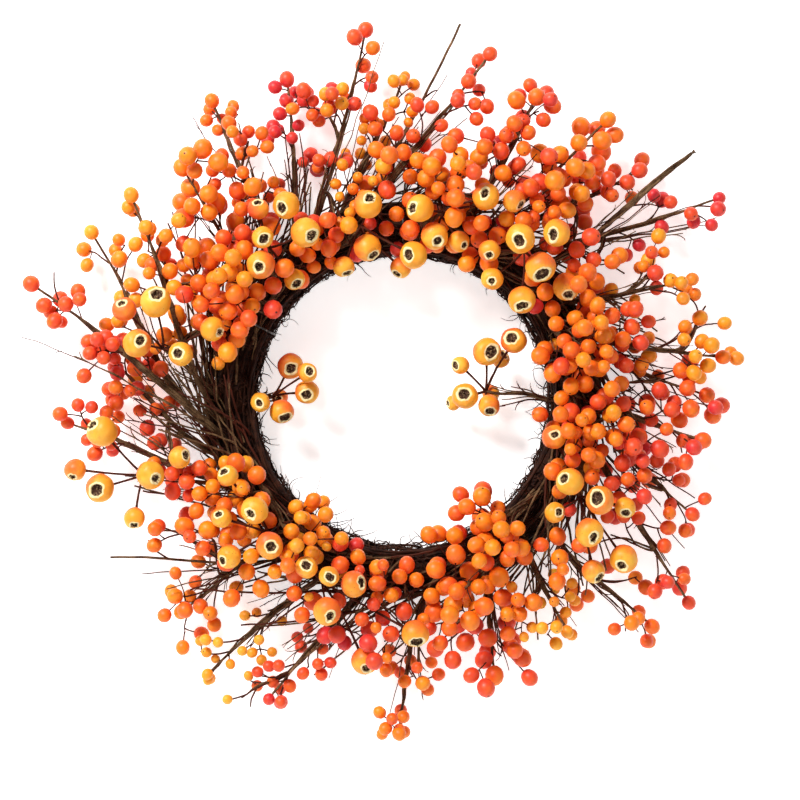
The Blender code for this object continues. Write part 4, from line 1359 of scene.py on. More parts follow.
@dataclass(frozen=True)
class BerrySkin:
    """Satin paint on a foam berry, crimson to gold by the value stored at it, with a dark eye, and painted
    shade: redder and darker towards the stalk, lighter towards the eye.
    """

    slot: str
    scale: tuple[tuple[float, Colour], ...] = (
        (0.0, (0.66, 0.022, 0.032)),
        (0.30, (0.84, 0.080, 0.015)),
        (0.50, (0.91, 0.170, 0.005)),
        (0.72, (0.93, 0.285, 0.007)),
        (1.0, (0.94, 0.430, 0.026)),
    )
    eye: Colour = (0.055, 0.020, 0.012)

    def build(self) -> bpy.types.Material:
        """The berry's material."""
        shader = Shader(self.slot)
        clouds = shader.noise(140.0)
        end = shader.stored("end")
        # end * 0.07 is painted shade: it moves the skin towards crimson on the stalk side and towards gold
        # on the eye side, standing in for shading across each berry.
        skin = shader.ramp(shader.stored("tone") + (clouds - 0.5) * 0.45 + end * 0.07, self.scale)
        blush = shader.noise(70.0, 1.0).between(0.50, 0.78) * 0.35
        skin = shader.mix(blush, skin, (0.76, 0.060, 0.022))
        eye = end.between(0.965, 0.990) * shader.stored("eye")
        fine = shader.noise(900.0, 3.0)
        return shader.done(
            Base_Color=shader.mix(eye, skin, self.eye),
            Roughness=0.45 + (fine - 0.5) * 0.20 + eye * 0.4,
            Normal=shader.bump(fine - eye * 1.5, 0.35, 0.00018),
            Specular_IOR_Level=0.42,
            Subsurface_Weight=0.08,
            Subsurface_Radius=(0.004, 0.0015, 0.0006),
            Subsurface_Scale=1.0,
        )


@dataclass(frozen=True)
class AppleSkin:
    """A crab apple's gold skin with its orange blush and specks, its cream rim and its brown eye."""

    slot: str
    gold: Colour = (0.91, 0.350, 0.020)
    pale: Colour = (0.94, 0.490, 0.048)
    blush: Colour = (0.87, 0.165, 0.020)
    deep: Colour = (0.70, 0.040, 0.026)
    rim: Colour = (0.94, 0.77, 0.40)
    hollow: Colour = (0.065, 0.022, 0.008)
    husk: Colour = (0.56, 0.36, 0.19)

    def build(self) -> bpy.types.Material:
        """The crab apple's material."""
        shader = Shader(self.slot)
        cloud = shader.noise(75.0)
        fine = shader.noise(650.0, 3.0)
        blush = shader.stored("blush") + (cloud - 0.5) * 1.1 + (fine - 0.5) * 0.25
        skin = shader.mix(cloud.between(0.35, 0.7), self.gold, self.pale)
        skin = shader.mix(blush.between(0.36, 0.92), skin, self.blush)
        skin = shader.mix(blush.between(0.88, 1.35) * 0.8, skin, self.deep)
        dots = shader.node("ShaderNodeTexVoronoi", {}, {"Vector": shader.place(), "Scale": 420.0})
        speck = (1.0 - dots.between(0.10, 0.20)) * shader.noise(60.0, 0.0).between(0.5, 0.62)
        skin = shader.mix(speck * 0.75, skin, (0.30, 0.065, 0.020))
        uneven = (cloud - 0.5) * 0.9 + (fine - 0.5) * 0.7
        rim = (shader.stored("rim") + uneven).between(0.22, 0.80)
        hollow = (shader.stored("hollow") + uneven * 0.6).between(0.28, 0.62)
        tan = fine.between(0.52, 0.72) * 0.6 + shader.stored("hollow").between(1.2, 1.8) * 0.5
        crumbs = shader.mix(tan, self.hollow, self.husk)
        colour = shader.mix(rim, skin, self.rim)
        return shader.done(
            Base_Color=shader.mix(hollow, colour, crumbs),
            Roughness=0.46 + (fine - 0.5) * 0.18 + hollow * 0.35,
            Normal=shader.bump(fine * 0.6 - speck * 0.6, 0.35, 0.0002),
            Specular_IOR_Level=0.40,
            Subsurface_Weight=0.08,
            Subsurface_Radius=(0.005, 0.0025, 0.0006),
            Subsurface_Scale=1.0,
        )


@dataclass(frozen=True)
class Bark:
    """The bark of a stem: olive brown where it is thick, red brown on its thin shoots."""

    slot: str
    dark: Colour
    light: Colour
    thin: Colour
    grain: float = 1500.0

    def build(self) -> bpy.types.Material:
        """The bark's material."""
        shader = Shader(self.slot)
        grain = shader.noise(self.grain, 4.0)
        patches = shader.noise(120.0, 2.0)
        streaks = (grain * 0.6 + patches * 0.6).between(0.45, 0.85)
        colour = shader.mix(streaks, self.dark, self.light)
        colour = shader.mix(shader.stored("thin") * (1.25 - patches * 0.5), colour, self.thin)
        return shader.done(
            Base_Color=colour,
            Roughness=0.72 + (grain - 0.5) * 0.4,
            Normal=shader.bump(grain, 0.8, 0.0004),
            Specular_IOR_Level=0.16,
        )


STEM_BARK = Bark("bark", (0.050, 0.019, 0.007), (0.27, 0.160, 0.075), (0.070, 0.014, 0.006))
TWIG_BARK = Bark("dark_twig", (0.011, 0.0026, 0.0011), (0.072, 0.022, 0.009), (0.024, 0.008, 0.004))


@dataclass(frozen=True)
class PaintedWire:
    """Dark enamelled wire, worn here and there to the metal."""

    slot: str = "wire"

    def build(self) -> bpy.types.Material:
        """The wire's material."""
        shader = Shader(self.slot)
        worn = shader.noise(420.0, 3.0).between(0.58, 0.68)
        fine = shader.noise(1600.0, 2.0)
        return shader.done(
            Base_Color=shader.mix(worn, (0.030, 0.026, 0.022), (0.34, 0.31, 0.28)),
            Metallic=worn,
            Roughness=0.42 + (fine - 0.5) * 0.25,
            Normal=shader.bump(fine, 0.25, 0.0001),
        )


# ---- picks


@dataclass
class Finishes:
    """The wreath's materials, by their slots' names."""

    made: dict[str, bpy.types.Material] = field(default_factory=dict)

    def __post_init__(self) -> None:
        """Builds every material once."""
        for tone in Tone:
            slot = tone.name.lower() + "_berry"
            skin = AppleSkin(slot) if tone is Tone.GOLD else BerrySkin(slot)
            self.made[slot] = skin.build()
        self.made["gold_small"] = BerrySkin("gold_small").build()
        self.made["bark"] = STEM_BARK.build()
        self.made["dark_twig"] = TWIG_BARK.build()
        self.made["wire"] = PaintedWire().build()


STOUT_TWIG = "bare_twig_right"  # the bare twig that is two stems side by side


@dataclass
class Stems:
    """The bark-covered lines of one pick: its stem, what forks off it, and every stalk."""

    dressing: Dressing
    dice: random.Random
    stem_root: float = 0.0014
    stem_tip: float = 0.0010
    branch_radius: float = 0.0010
    shoot_radius: float = 0.00078
    apple_stalk: float = 0.00095
    berry_stalk: float = 0.00062
    fine_stalk: float = 0.00058

    def lines(self) -> tuple[list[Tube], list[Tube], dict[int, Line]]:
        """The pick's lines.

        Returns:
            The thick ones, the thin ones, and the drawn line of each grown line, by its id.
        """
        grown = self.dressing.grown
        drawn: dict[int, Line] = {}
        thick: list[Tube] = []
        thin: list[Tube] = []
        stem = grown.lines[0][0]
        main = kinked(smooth(stem, 7), 0.0005)
        drawn[id(stem)] = main
        thick.append(tapered(main, self.stem_root, self.stem_tip))
        if grown.pick.name == STOUT_TWIG:
            self.add_twins(main, thick)
        for shoot, _ in grown.lines[1:]:
            self.add_shoot(shoot, stem, drawn, thick, thin, self.shoot_radius)
        for branch in self.dressing.branches:
            self.add_shoot(branch, stem, drawn, thick, thin, self.branch_radius)
        for shoot, host in self.dressing.shoots:
            self.add_shoot(shoot, host, drawn, thick, thin, self.shoot_radius)
        for whisker in self.dressing.whiskers:
            self.add_whisker(whisker, thick, thin)
        return thick, thin, drawn

    def add_twins(self, main: Line, thick: list[Tube]) -> None:
        """Draws two more strands wound along a bare twig, with short spurs at its tip.

        Args:
            main: The twig's points.
            thick: The olive lines so far.
        """
        for phase in (0.0, math.pi):
            strand = []
            for i, point in enumerate(main):
                ahead = (main[min(i + 1, len(main) - 1)] - main[max(i - 1, 0)]).normalized()
                strand.append(point + around(ahead, phase + 0.13 * i) * 0.0016)
            thick.append(tapered(kinked(strand, 0.0005, 150.0), 0.0014, 0.0009))
        tip = main[-1]
        ahead = (tip - main[-4]).normalized()
        for k in range(4):
            side = around(ahead, 1.6 * k)
            end = tip + ahead * 0.003 + side * self.dice.uniform(0.0008, 0.0024)
            thick.append(tapered([tip - ahead * 0.004, tip, end], 0.0010, 0.0005))

    def add_whisker(self, whisker: Line, thick: list[Tube], thin: list[Tube]) -> None:
        """Draws a bare twig with a few short forks.

        Args:
            whisker: The twig's points.
            thick: The olive lines so far.
            thin: The red brown lines so far.
        """
        line = kinked(smooth(whisker, 4), 0.0016, 55.0)
        root = self.dice.uniform(0.0006, 0.0011)
        into = thick if self.dice.random() < 0.65 else thin
        into.append(tapered(line, root, root * 0.45))
        for _ in range(self.dice.randint(0, 3)):
            at = self.dice.randint(len(line) // 2, len(line) - 3)
            ahead = (line[at + 1] - line[at]).normalized()
            side = around(ahead, self.dice.uniform(0, 2 * math.pi))
            length = self.dice.uniform(0.005, 0.016)
            end = line[at] + (ahead * 0.8 + side * 0.6) * length
            fork = bezier(line[at], line[at] + ahead * length * 0.4, end - side * length * 0.2, end, 5)
            into.append(tapered(kinked(fork, 0.0006, 150.0), root * 0.6, root * 0.3))

    def add_shoot(
        self,
        shoot: Line,
        host: Line,
        drawn: dict[int, Line],
        thick: list[Tube],
        thin: list[Tube],
        radius: float,
    ) -> None:
        """Draws a shoot, and the strand that carries it down beside its host.

        Args:
            shoot: The shoot's points.
            host: The line it forks off.
            drawn: Each grown line's drawn line so far.
            thick: The olive lines so far.
            thin: The red brown lines so far.
            radius: The shoot's radius at its base.
        """
        beside = drawn[id(host)]
        line = kinked(smooth(shoot, 5), 0.0006, 130.0)
        line[0] = nearest(beside, line[0])
        drawn[id(shoot)] = line
        thin.append(tapered(line, radius, radius * 0.72))
        end = beside.index(line[0])
        if end < 4:
            return
        turn = self.dice.uniform(0, 2 * math.pi)
        twist = self.dice.uniform(-0.05, 0.05)
        start = self.dice.randint(0, end // 3)
        strand = []
        for i in range(start, end + 1):
            ahead = (beside[min(i + 1, len(beside) - 1)] - beside[max(i - 1, 0)]).normalized()
            off = 0.0021 * min(1.0, (end - i) / 4, (i - start) / 3 + 0.3)
            strand.append(beside[i] + around(ahead, turn + twist * i) * off)
        thick.append(tapered(kinked(strand, 0.0006, 160.0), 0.0010, radius))

    def stalk(self, fruit: Fruit, base: Vector, host: Line, radius: float) -> Tube:
        """The stalk of one fruit, bent a little.

        Args:
            fruit: The fruit.
            base: Where it starts on the grown line.
            host: The drawn line it starts from.
            radius: Its radius.

        Returns:
            Its tube.
        """
        foot = nearest(host, base)
        end = fruit.centre - fruit.stalk * fruit.radius * 0.75
        span = (end - foot).length
        side = around((end - foot).normalized(), self.dice.uniform(0, 6.28))
        bend = side * span * self.dice.uniform(0.02, 0.12)
        line = bezier(foot, foot.lerp(end, 0.35) + bend, foot.lerp(end, 0.75) + bend * 0.4, end, 5)
        return Tube(line, [radius * 1.15, radius, radius * 0.9, radius, radius * 1.25])

    def build(self, finishes: Finishes, *nodes: str) -> bpy.types.Object:
        """Makes the stems' piece.

        Args:
            finishes: The materials.
            *nodes: The solids it is shown in place of.

        Returns:
            The piece's object.
        """
        grown = self.dressing.grown
        thick, thin, drawn = self.lines()
        apples = isinstance(grown.pick, ApplePick)
        size = self.apple_stalk if apples else self.berry_stalk
        hosts = [points for points, _ in grown.lines]
        for fruit, base in grown.fruits:
            if base is not None:
                host = min(hosts, key=lambda line: min((p - base).length for p in smooth(line, 5)))
                thin.append(self.stalk(fruit, base, drawn[id(host)], size))
        for fruit, base, host in self.dressing.berries:
            if base is not None:
                thin.append(self.stalk(fruit, base, drawn[id(host)], self.fine_stalk))
        if apples:
            for across in (-0.0013, 0.0013):
                beside = [p + Vector((across, 0, 0.0009)) for p in drawn[id(hosts[0])]]
                thick.append(tapered(kinked(beside, 0.0006), 0.0009, 0.0006))
        shape = Shape(grown.pick.name if nodes else grown.pick.name + "_stems", "thin")
        shape.tubes(thick, 1, thin=0.0)
        shape.tubes(thin, 0, thin=1.0)
        return shape.finish(finishes.made["bark"], "bark", *nodes)


@dataclass
class BerrySpray:
    """The berries of one spray, large and small."""

    dressing: Dressing
    dice: random.Random
    segments: int = 11
    rings: int = 7
    girth: float = 0.985
    eyed_share: float = 0.25

    def add_berry(self, shape: Shape, fruit: Fruit, tone: float) -> None:
        """Adds one berry, a little longer than wide, with its eye away from the stalk.

        Args:
            shape: The piece.
            fruit: The berry.
            tone: Its colour.
        """
        tall = self.dice.uniform(1.0, 1.10)
        oval = Matrix.Diagonal((self.girth, self.girth, tall, 1))
        place = Matrix.Translation(fruit.centre) @ turned_to(fruit.stalk) @ oval
        verts = bmesh.ops.create_uvsphere(
            shape.mesh, u_segments=self.segments, v_segments=self.rings, radius=fruit.radius, matrix=place
        )["verts"]
        # end runs from -1 at the stalk to 1 at the eye; the skin uses it for the dark eye and for painted
        # shade, darker towards the stalk.
        shape.mark(
            verts,
            tone=min(max(tone, 0.0), 1.0),
            end=lambda co: (co - fruit.centre).normalized().dot(fruit.stalk),
            eye=1.0 if self.dice.random() < self.eyed_share else 0.0,
        )

    def build(self, finishes: Finishes) -> bpy.types.Object:
        """Makes the berries' piece."""
        grown = self.dressing.grown
        tone = grown.pick.tone
        shape = Shape(grown.pick.name, "tone", "end", "eye")
        for fruit, _ in grown.fruits:
            self.add_berry(shape, fruit, tone.value + self.dice.gauss(0, 0.09))
        for fruit, _, _ in self.dressing.berries:
            self.add_berry(shape, fruit, fruit.tone)
        slot = tone.name.lower() + "_berry"
        finish = finishes.made["gold_small" if tone is Tone.GOLD else slot]
        return shape.finish(finish, slot, grown.pick.name)


@dataclass
class CrabApples:
    """The crab apples of one pick, each with a cream rim round an open brown eye."""

    dressing: Dressing
    dice: random.Random

    def axis_of(self, fruit: Fruit) -> Vector:
        """The way a fruit's eye looks: on from its stalk, and more or less to the front."""
        front = Vector((self.dice.uniform(-1.2, 1.2), -1.0, self.dice.uniform(-1.3, 0.5)))
        on = fruit.stalk * self.dice.uniform(0.3, 1.0)
        return (on + front * self.dice.uniform(0.5, 1.0)).normalized()

    def lip_height(self, mouth: float) -> float:
        """How high the lip of the eye stands over the fruit's middle, both as shares of its radius."""
        return math.sqrt(1 - (mouth + 0.05) ** 2)

    def profile(self, radius: float, mouth: float) -> list[tuple[float, float, float, float]]:
        """The turned outline of a crab apple.

        Args:
            radius: The fruit's radius.
            mouth: The eye's radius, as a share of that.

        Returns:
            Rows of distance out, height towards the eye, rim and hollow.
        """
        flesh = [(0.0, -0.80), (0.10, -0.86), (0.26, -0.93), (0.48, -0.87), (0.70, -0.72), (0.88, -0.45)]
        flesh += [(0.985, -0.12), (0.985, 0.20), (0.90, 0.48), (0.80, 0.62)]
        top = self.lip_height(mouth)
        rows = [(x, z, 0.0, 0.0) for x, z in flesh]
        for beyond, drop, rim, hollow in (
            (0.18, 0.08, 0.15, 0.0), (0.11, 0.03, 0.7, 0.0), (0.05, 0.0, 1.0, 0.0), (0.01, 0.005, 1.0, 0.0),
            (-0.03, 0.06, 0.9, 0.3), (-0.06, 0.15, 0.4, 0.9), (-0.08, 0.26, 0.0, 1.0),
            (-mouth * 0.5, 0.34, 0.0, 1.0), (-mouth, 0.32, 0.0, 1.0),
        ):
            rows.append((mouth + beyond, top - drop, rim, hollow))
        return [(x * radius, z * radius, rim, hollow) for x, z, rim, hollow in rows]

    def add_husks(self, part: bmesh.types.BMesh, radius: float, mouth: float) -> None:
        """Adds the dry flakes that stand in a fruit's eye and curl over its edge.

        Args:
            part: The fruit's mesh, with its values' layers.
            radius: The fruit's radius.
            mouth: The eye's radius, as a share of that.
        """
        hollow = part.verts.layers.float["hollow"]
        count = self.dice.randint(7, 10)
        for k in range(count):
            turn = 2 * math.pi * (k + self.dice.uniform(0.1, 0.9)) / count
            edge = self.dice.random() < 0.6
            out = Vector((math.cos(turn), math.sin(turn), 0))
            foot = out * (mouth * radius * self.dice.uniform(*((0.70, 0.95) if edge else (0.05, 0.5))))
            foot.z = radius * (self.lip_height(mouth) - (0.12 if edge else 0.33))
            lean = (out * self.dice.uniform(-0.9, 0.5) + Vector((0, 0, 1))).normalized()
            size = radius * self.dice.uniform(0.18, 0.34)
            wide = radius * self.dice.uniform(0.05, 0.12)
            flat = Matrix.Rotation(turn, 4, "Z") @ Matrix.Diagonal((0.35, 1.0, 1.0, 1.0))
            matrix = Matrix.Translation(foot + lean * size * 0.4) @ turned_to(lean) @ flat
            cone = {"cap_ends": True, "segments": 5, "radius1": wide, "radius2": wide * 0.25, "depth": size}
            for vert in bmesh.ops.create_cone(part, matrix=matrix, **cone)["verts"]:
                vert[hollow] = 2.0

    def add_apple(self, shape: Shape, fruit: Fruit) -> None:
        """Adds one crab apple.

        Args:
            shape: The piece.
            fruit: The crab apple.
        """
        mouth = self.dice.uniform(0.30, 0.48)
        rows = self.profile(fruit.radius, mouth)
        part = bmesh.new()
        layers = {key: part.verts.layers.float.new(key) for key in ("rim", "hollow", "blush")}
        verts = []
        for x, z, rim, hollow in rows:
            vert = part.verts.new((x, 0, z))
            vert[layers["rim"]], vert[layers["hollow"]] = rim, hollow
            verts.append(vert)
        edges = [part.edges.new(pair) for pair in zip(verts, verts[1:])]
        bmesh.ops.spin(
            part, geom=[*verts, *edges], cent=(0, 0, 0), axis=(0, 0, 1),
            angle=2 * math.pi, steps=24, use_merge=True, use_duplicate=False,
        )
        bmesh.ops.remove_doubles(part, verts=part.verts, dist=1e-6)
        phase = self.dice.uniform(0, 6.28)
        oval = self.dice.uniform(0.0, 0.22)
        for vert in part.verts:
            turn = math.atan2(vert.co.y, vert.co.x)
            near = max(vert.co.z / fruit.radius - 0.55, 0.0) * 2.5
            swell = 1 + 0.02 * math.cos(2 * turn + phase) + 0.016 * math.cos(5 * turn + phase)
            ring_noise = noise.noise(Vector((math.cos(turn), math.sin(turn), phase)) * 1.7)
            swell += near * (0.30 * ring_noise + oval * math.cos(2 * turn + phase))
            vert.co.x *= swell
            vert.co.y *= swell
            if vert[layers["rim"]] > 0.3 or vert[layers["hollow"]] > 0.3:
                ragged = noise.noise(vert.co * 380 + Vector((phase, 0, 0)))
                vert.co.z += fruit.radius * (0.12 * ragged - 0.03)
        self.add_husks(part, fruit.radius, mouth)
        drift = Vector([self.dice.uniform(-1, 1) for _ in range(3)])
        sunny = (drift + Vector((-0.3, -0.2, 0.7))).normalized()
        ripe = self.dice.choice((-0.25, -0.1, 0.0, 0.1, 0.3, 0.75))
        axis = self.axis_of(fruit)
        squat = self.dice.uniform(0.94, 1.02)
        place = Matrix.Translation(fruit.centre) @ turned_to(axis) @ Matrix.Diagonal((1, 1, squat, 1))
        bmesh.ops.transform(part, matrix=place, verts=part.verts)
        for vert in part.verts:
            way = (vert.co - fruit.centre).normalized()
            vert[layers["blush"]] = 0.40 * way.dot(sunny) - 0.24 * way.dot(axis) + 0.42 + ripe * 0.6
        mesh = bpy.data.meshes.new("crab_apple")
        part.to_mesh(mesh)
        part.free()
        shape.add(mesh)

    def build(self, finishes: Finishes) -> bpy.types.Object:
        """Makes the crab apples' piece."""
        grown = self.dressing.grown
        shape = Shape(grown.pick.name, "rim", "hollow", "blush")
        for fruit, _ in grown.fruits:
            self.add_apple(shape, fruit)
        return shape.finish(finishes.made["gold_berry"], "gold_berry", grown.pick.name)


# ---- the ring


@dataclass
class TwigRing:
    """The bound ring: a dark core, the twigs laid round it, its strands and its rootlets."""

    dice: random.Random
    vines: list[Line]
    twigs: int = 190
    back_twigs: int = 80
    fibres: int = 620
    rootlets: int = 260
    tufts: tuple[tuple[float, float], ...] = (
        (7.0, 1.0), (7.3, 1.25), (7.6, 0.8), (6.7, 0.6), (2.3, 0.5), (2.7, 0.8), (3.1, 0.7), (3.5, 0.7),
        (8.6, 0.5), (9.1, 0.6), (9.6, 0.5), (10.2, 0.5), (4.6, 0.5), (1.9, 0.5), (11.3, 0.4), (5.7, 0.4),
    )

    def core(self, shape: Shape) -> None:
        """Adds the lumpy middle that the twigs lie on."""
        circle = bmesh.ops.create_circle(shape.mesh, cap_ends=False, segments=20, radius=1.0)["verts"]
        for vert in circle:
            lane = math.degrees(math.atan2(vert.co.y, vert.co.x))
            vert.co = RING.section_point(0, lane, 0.80)
        edges = list(dict.fromkeys(edge for vert in circle for edge in vert.link_edges))
        bmesh.ops.spin(
            shape.mesh, geom=[*circle, *edges], cent=(0, 0, CENTRE_HEIGHT), axis=(0, 1, 0),
            angle=2 * math.pi, steps=120, use_merge=True, use_duplicate=False,
        )
        bmesh.ops.remove_doubles(shape.mesh, verts=shape.mesh.verts, dist=1e-6)
        bmesh.ops.recalc_face_normals(shape.mesh, faces=shape.mesh.faces)
        shape.mesh.normal_update()
        for vert in shape.mesh.verts:
            vert.co += vert.normal * (noise.noise(vert.co * 110) * 0.0016)
            vert.co.y = min(vert.co.y, -0.0006)

    def twig(self, lane: float) -> Tube:
        """One twig that runs part of the way round from a lane, wandering over the section."""
        hour = self.dice.uniform(0, 12)
        span = self.dice.uniform(1.2, 4.5)
        drift = self.dice.uniform(-32, 32)
        share = self.dice.uniform(0.80, 1.0)
        radius = self.dice.choice((0.0005, 0.0007, 0.0009, 0.0011, 0.0014))
        phase = self.dice.uniform(0, 6.28)
        count = int(span * 14)
        points = []
        for i in range(count):
            t = i / (count - 1)
            at = lane + drift * t + 7 * math.sin(phase + 9 * t)
            out = share + 0.05 * math.sin(phase * 2 + 14 * t) - 0.15 * (abs(2 * t - 1) ** 6)
            point = RING.section_point(hour + span * t, at, out)
            point.y = min(point.y, -radius - 0.0006)
            points.append(point)
        return tapered(kinked(kinked(points, 0.0016, 75.0), 0.0009, 240.0), radius, radius * 0.5)

    def fibre(self) -> Tube:
        """One thin root that creeps over the ring's skin, across the twigs."""
        hour = self.dice.uniform(0, 12)
        lane = self.dice.uniform(-45, 225)
        step = self.dice.choice((-1, 1)) * self.dice.uniform(0.02, 0.08)
        veer = self.dice.uniform(-20, 20)
        radius = self.dice.uniform(0.00035, 0.00075)
        points = []
        for _ in range(9):
            veer = veer * 0.75 + self.dice.uniform(-20, 20)
            hour, lane = hour + step * self.dice.uniform(0.5, 1.4), lane + veer
            points.append(RING.section_point(hour, lane, self.dice.uniform(0.97, 1.13)))
        return tapered(smooth(points, 2), radius, radius * 0.4)

    def rootlet(self, hour: float, lane: float, length: float) -> Tube:
        """One curly rootlet that stands out of the ring.

        Args:
            hour: The clock hour it leaves the ring at.
            lane: Its lane there.
            length: Its length.

        Returns:
            The rootlet's tube.
        """
        point = RING.section_point(hour, lane, 0.93)
        way = clockwise(hour) * self.dice.choice((-1, 1)) * self.dice.uniform(0.3, 1.2)
        way = (way + section_normal(hour, lane) * self.dice.uniform(0.2, 0.9)).normalized()
        spin = Quaternion(around(way, self.dice.uniform(0, 6.28)), self.dice.gauss(0, 0.30))
        points = [point]
        for _ in range(9):
            shake = Vector([self.dice.uniform(-1, 1) for _ in range(3)]) * 0.22
            way = (spin @ way + shake).normalized()
            point = point + way * length / 9
            points.append(point)
        return tapered(points, self.dice.uniform(0.00035, 0.00062), 0.00016)

    def all_rootlets(self) -> list[Tube]:
        """The rootlets: some anywhere, and the tufts on the inner side."""
        made = []
        for _ in range(self.rootlets):
            inner = self.dice.random() < 0.6
            lane = self.dice.gauss(178, 28) if inner else self.dice.uniform(-20, 150)
            made.append(self.rootlet(self.dice.uniform(0, 12), lane, self.dice.uniform(0.006, 0.016)))
        for hour, vigour in self.tufts:
            for _ in range(round(16 * vigour)):
                length = self.dice.uniform(0.010, 0.018 + 0.016 * vigour)
                made.append(self.rootlet(self.dice.gauss(hour, 0.11), self.dice.gauss(165, 22), length))
        return made

    def build(self, finishes: Finishes) -> None:
        """Makes the ring's pieces."""
        finish = finishes.made["dark_twig"]
        shape = Shape("twig_bundle", "thin")
        self.core(shape)
        lanes = [self.dice.uniform(-60, 240) for _ in range(self.twigs)]
        lanes += [self.dice.uniform(225, 315) for _ in range(self.back_twigs)]
        shape.tubes([self.twig(lane) for lane in lanes], 0, thin=0.0)
        shape.finish(finish, "dark_twig", "twig_bundle")
        shape = Shape("rootlets", "thin")
        shape.tubes([self.fibre() for _ in range(self.fibres)], 0, thin=0.0)
        shape.tubes(self.all_rootlets(), 0, thin=0.0)
        shape.finish(finish, "dark_twig")
        shape = Shape("vines", "thin")
        lines = [kinked(smooth(vine, 2), 0.0008, 120.0) for vine in self.vines]
        tubes = [tapered(line, self.dice.uniform(0.0008, 0.0014), VINE_RADIUS) for line in lines]
        shape.tubes(tubes[::3], 0, thin=1.0)
        shape.tubes(tubes[1::3] + tubes[2::3], 0, thin=0.0)
        shape.finish(finishes.made["bark"], "bark")
        for number, lane in enumerate(RING.strand_lanes, 1):
            self.strand(number, lane).finish(finish, "dark_twig", f"twig_strand_{number}")

    def strand(self, number: int, lane: float) -> Shape:
        """One strand: four thin twigs wound round each other, all the way round the ring.

        Args:
            number: The strand's number.
            lane: The strand's lane.

        Returns:
            The strand's shape.
        """
        shape = Shape(f"twig_strand_{number}", "thin")
        count = 256
        middles = [RING.strand_section(lane, 12 * i / count) for i in range(count)]
        tubes = []
        for k in range(4):
            turns = (5, 7, 6, 8)[(k + number) % 4]
            points = []
            for i, (across, depth) in enumerate(middles):
                turn = 2 * math.pi * (k / 4 + turns * i / count)
                off = 0.0014 + 0.0003 * math.sin(5 * turn + k)
                x, d = across + off * math.cos(turn), depth + off * math.sin(turn)
                points.append(RING.place(12 * i / count, RING.radius + x, max(d, 0.002)))
            radii = [0.0011 + 0.0002 * math.sin(2 * math.pi * 3 * i / count + k) for i in range(count)]
            tubes.append(Tube(kinked(points, 0.0003, 120.0), radii))
        shape.tubes(tubes, 0, closed=True, thin=0.0)
        return shape


@dataclass(frozen=True)
class Wires:
    """The ties, the hanger's eye and the loop that swings in it."""

    def build(self, finishes: Finishes) -> None:
        """Makes the wires' pieces."""
        finish = finishes.made["wire"]
        for number, hour in enumerate(RING.tie_hours, 1):
            shape = Shape(f"tie_wire_{number}")
            shape.tubes([self.tie(hour)], 2, closed=True)
            shape.finish(finish, "wire", f"tie_wire_{number}")
        shape = Shape("hanger_tie")
        eye = RING.place(0, RING.eye_height(), RING.back_depth)
        turns = [2 * math.pi * i / 24 for i in range(24)]
        ring = [eye + Vector((0, math.cos(a), math.sin(a))) * RING.eye_radius for a in turns]
        shape.tubes([self.tie(12.0), Tube(ring, [RING.tie_radius] * 24)], 2, closed=True)
        shape.finish(finish, "wire", "hanger_tie")
        shape = Shape("hanging_loop")
        line = RING.loop_line()
        shape.tubes([Tube(line, [RING.loop_wire_radius] * len(line))], 3, closed=True)
        shape.finish(finish, "wire", "hanging_loop", body=LOOP_BODY)

    def tie(self, hour: float) -> Tube:
        """One tie wire round the bundle."""
        line = RING.tie_line(hour)
        return Tube(line, [RING.tie_radius] * len(line))


# ---- the studio


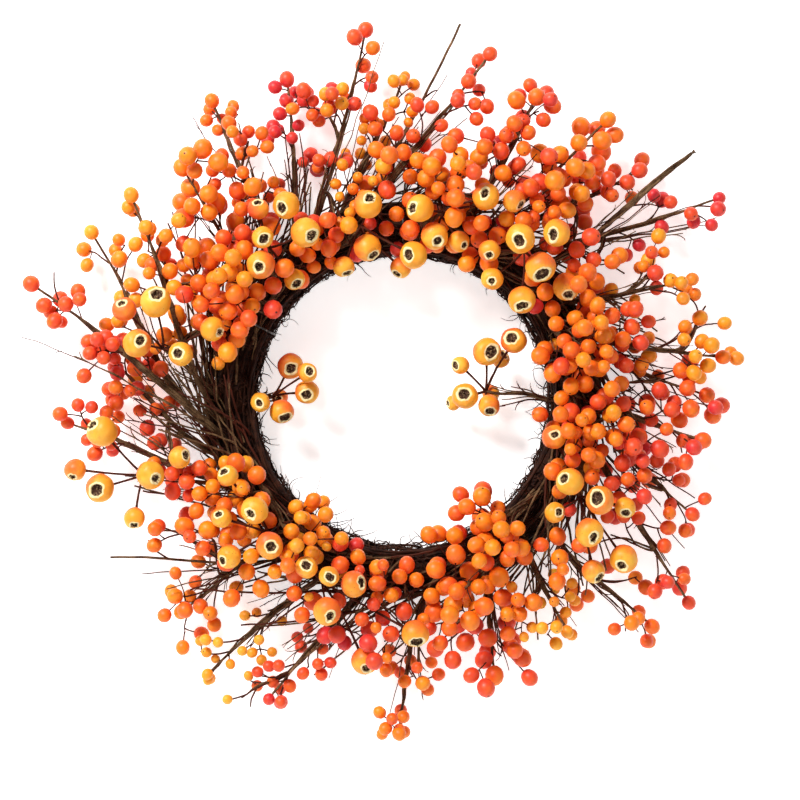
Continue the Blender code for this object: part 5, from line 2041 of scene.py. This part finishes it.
@dataclass(frozen=True)
class Studio:
    """A white wall over a pale floor, soft lights and the camera, straight in front."""

    centre: tuple[float, float] = (-0.0024, CENTRE_HEIGHT)
    width: float = 0.64
    distance: float = 2.6

    def plain(self, name: str, colour: Colour, glow: float, see_through_back: bool) -> bpy.types.Material:
        """A matt paper finish.

        Args:
            name: The material's name.
            colour: Its colour.
            glow: How strongly it is lit from within.
            see_through_back: Whether its back doesn't show.

        Returns:
            The material.
        """
        shader = Shader(name)
        grain = shader.noise(3.0)
        light = tuple(min(c * 1.01, 1.0) for c in colour)
        paper = shader.mix(grain, colour, light)
        shader.done(Base_Color=paper, Roughness=0.9, Emission_Color=paper, Emission_Strength=glow)
        if see_through_back:
            back = shader.node("ShaderNodeNewGeometry", output="Backfacing")
            clear = shader.node("ShaderNodeBsdfTransparent")
            surface = Signal(shader, shader.surface.outputs[0])
            mixed = shader.node("ShaderNodeMixShader", {}, {0: back, 1: surface, 2: clear})
            shader.put(shader.tree.nodes["Material Output"].inputs["Surface"], mixed)
        return shader.material

    def backdrop(self) -> None:
        """The wall and the floor."""
        for name, size, place, turn, glow, see_through in (
            ("wall", 6.0, (0, 0.0015, 1.3), math.radians(90), 0.62, True),
            ("floor", 6.0, (0, -2.9, -1.5), 0.0, 0.1, False),
        ):
            shape = bmesh.new()
            matrix = Matrix.Translation(place) @ Matrix.Rotation(turn, 4, "X")
            bmesh.ops.create_grid(shape, x_segments=1, y_segments=1, size=size / 2, matrix=matrix)
            mesh = bpy.data.meshes.new(name)
            shape.to_mesh(mesh)
            shape.free()
            mesh.materials.append(self.plain(name, (0.93, 0.93, 0.93), glow, see_through))
            obj = bpy.data.objects.new(name, mesh)
            bpy.context.scene.collection.objects.link(obj)

    def light(self, name: str, place: tuple[float, float, float], size: float, power: float) -> None:
        """An area light that looks at the wreath.

        Args:
            name: Its name.
            place: Where it stands.
            size: Its side.
            power: Its power.
        """
        lamp = bpy.data.lights.new(name, "AREA")
        lamp.shape = "DISK"
        lamp.size = size
        lamp.energy = power
        obj = bpy.data.objects.new(name, lamp)
        obj.location = place
        aim = Vector((0, 0, CENTRE_HEIGHT)) - Vector(place)
        obj.rotation_euler = aim.to_track_quat("-Z", "Y").to_euler()
        bpy.context.scene.collection.objects.link(obj)

    def build(self) -> None:
        """Sets up the stage, the lights and the camera."""
        self.backdrop()
        self.light("key", (-1.2, -1.8, 1.3), 0.80, 84.0)
        self.light("fill", (1.6, -1.8, 0.1), 1.6, 7.0)
        world = bpy.data.worlds.new("studio")
        world.use_nodes = True
        world.node_tree.nodes["Background"].inputs["Color"].default_value = (1, 1, 1, 1)
        world.node_tree.nodes["Background"].inputs["Strength"].default_value = 0.16
        scene = bpy.context.scene
        scene.world = world
        scene.view_settings.view_transform = "Standard"
        camera = bpy.data.cameras.new("camera")
        camera.sensor_width = 36.0
        camera.lens = camera.sensor_width * self.distance / self.width
        obj = bpy.data.objects.new("camera", camera)
        obj.location = (self.centre[0], -self.distance, self.centre[1])
        obj.rotation_euler = (math.radians(90), 0, 0)
        scene.collection.objects.link(obj)
        scene.camera = obj


def main() -> None:
    """Builds the wreath piece by piece, then the studio."""
    noise.seed_set(SEED)  # noise_vector follows the clock without it
    finishes = Finishes()
    grower = FineGrower()
    dressings = grower.dress_all()
    dice = random.Random(SEED + 2)
    for dressing in dressings:
        grown = dressing.grown
        stems = Stems(dressing, dice)
        if not grown.fruits:
            stems.build(finishes, grown.pick.name)
            continue
        stems.build(finishes)
        fruits = CrabApples if isinstance(grown.pick, ApplePick) else BerrySpray
        fruits(dressing, dice).build(finishes)
    TwigRing(dice, grower.vines()).build(finishes)
    Wires().build(finishes)
    Studio().build()
    berries = sum(len(d.grown.fruits) + len(d.berries) for d in dressings)
    log.info("%d picks, %d fruits", len(dressings), berries)


if __name__ == "__main__":
    logging.basicConfig(level=logging.INFO, format="%(message)s", stream=sys.stdout)
    main()
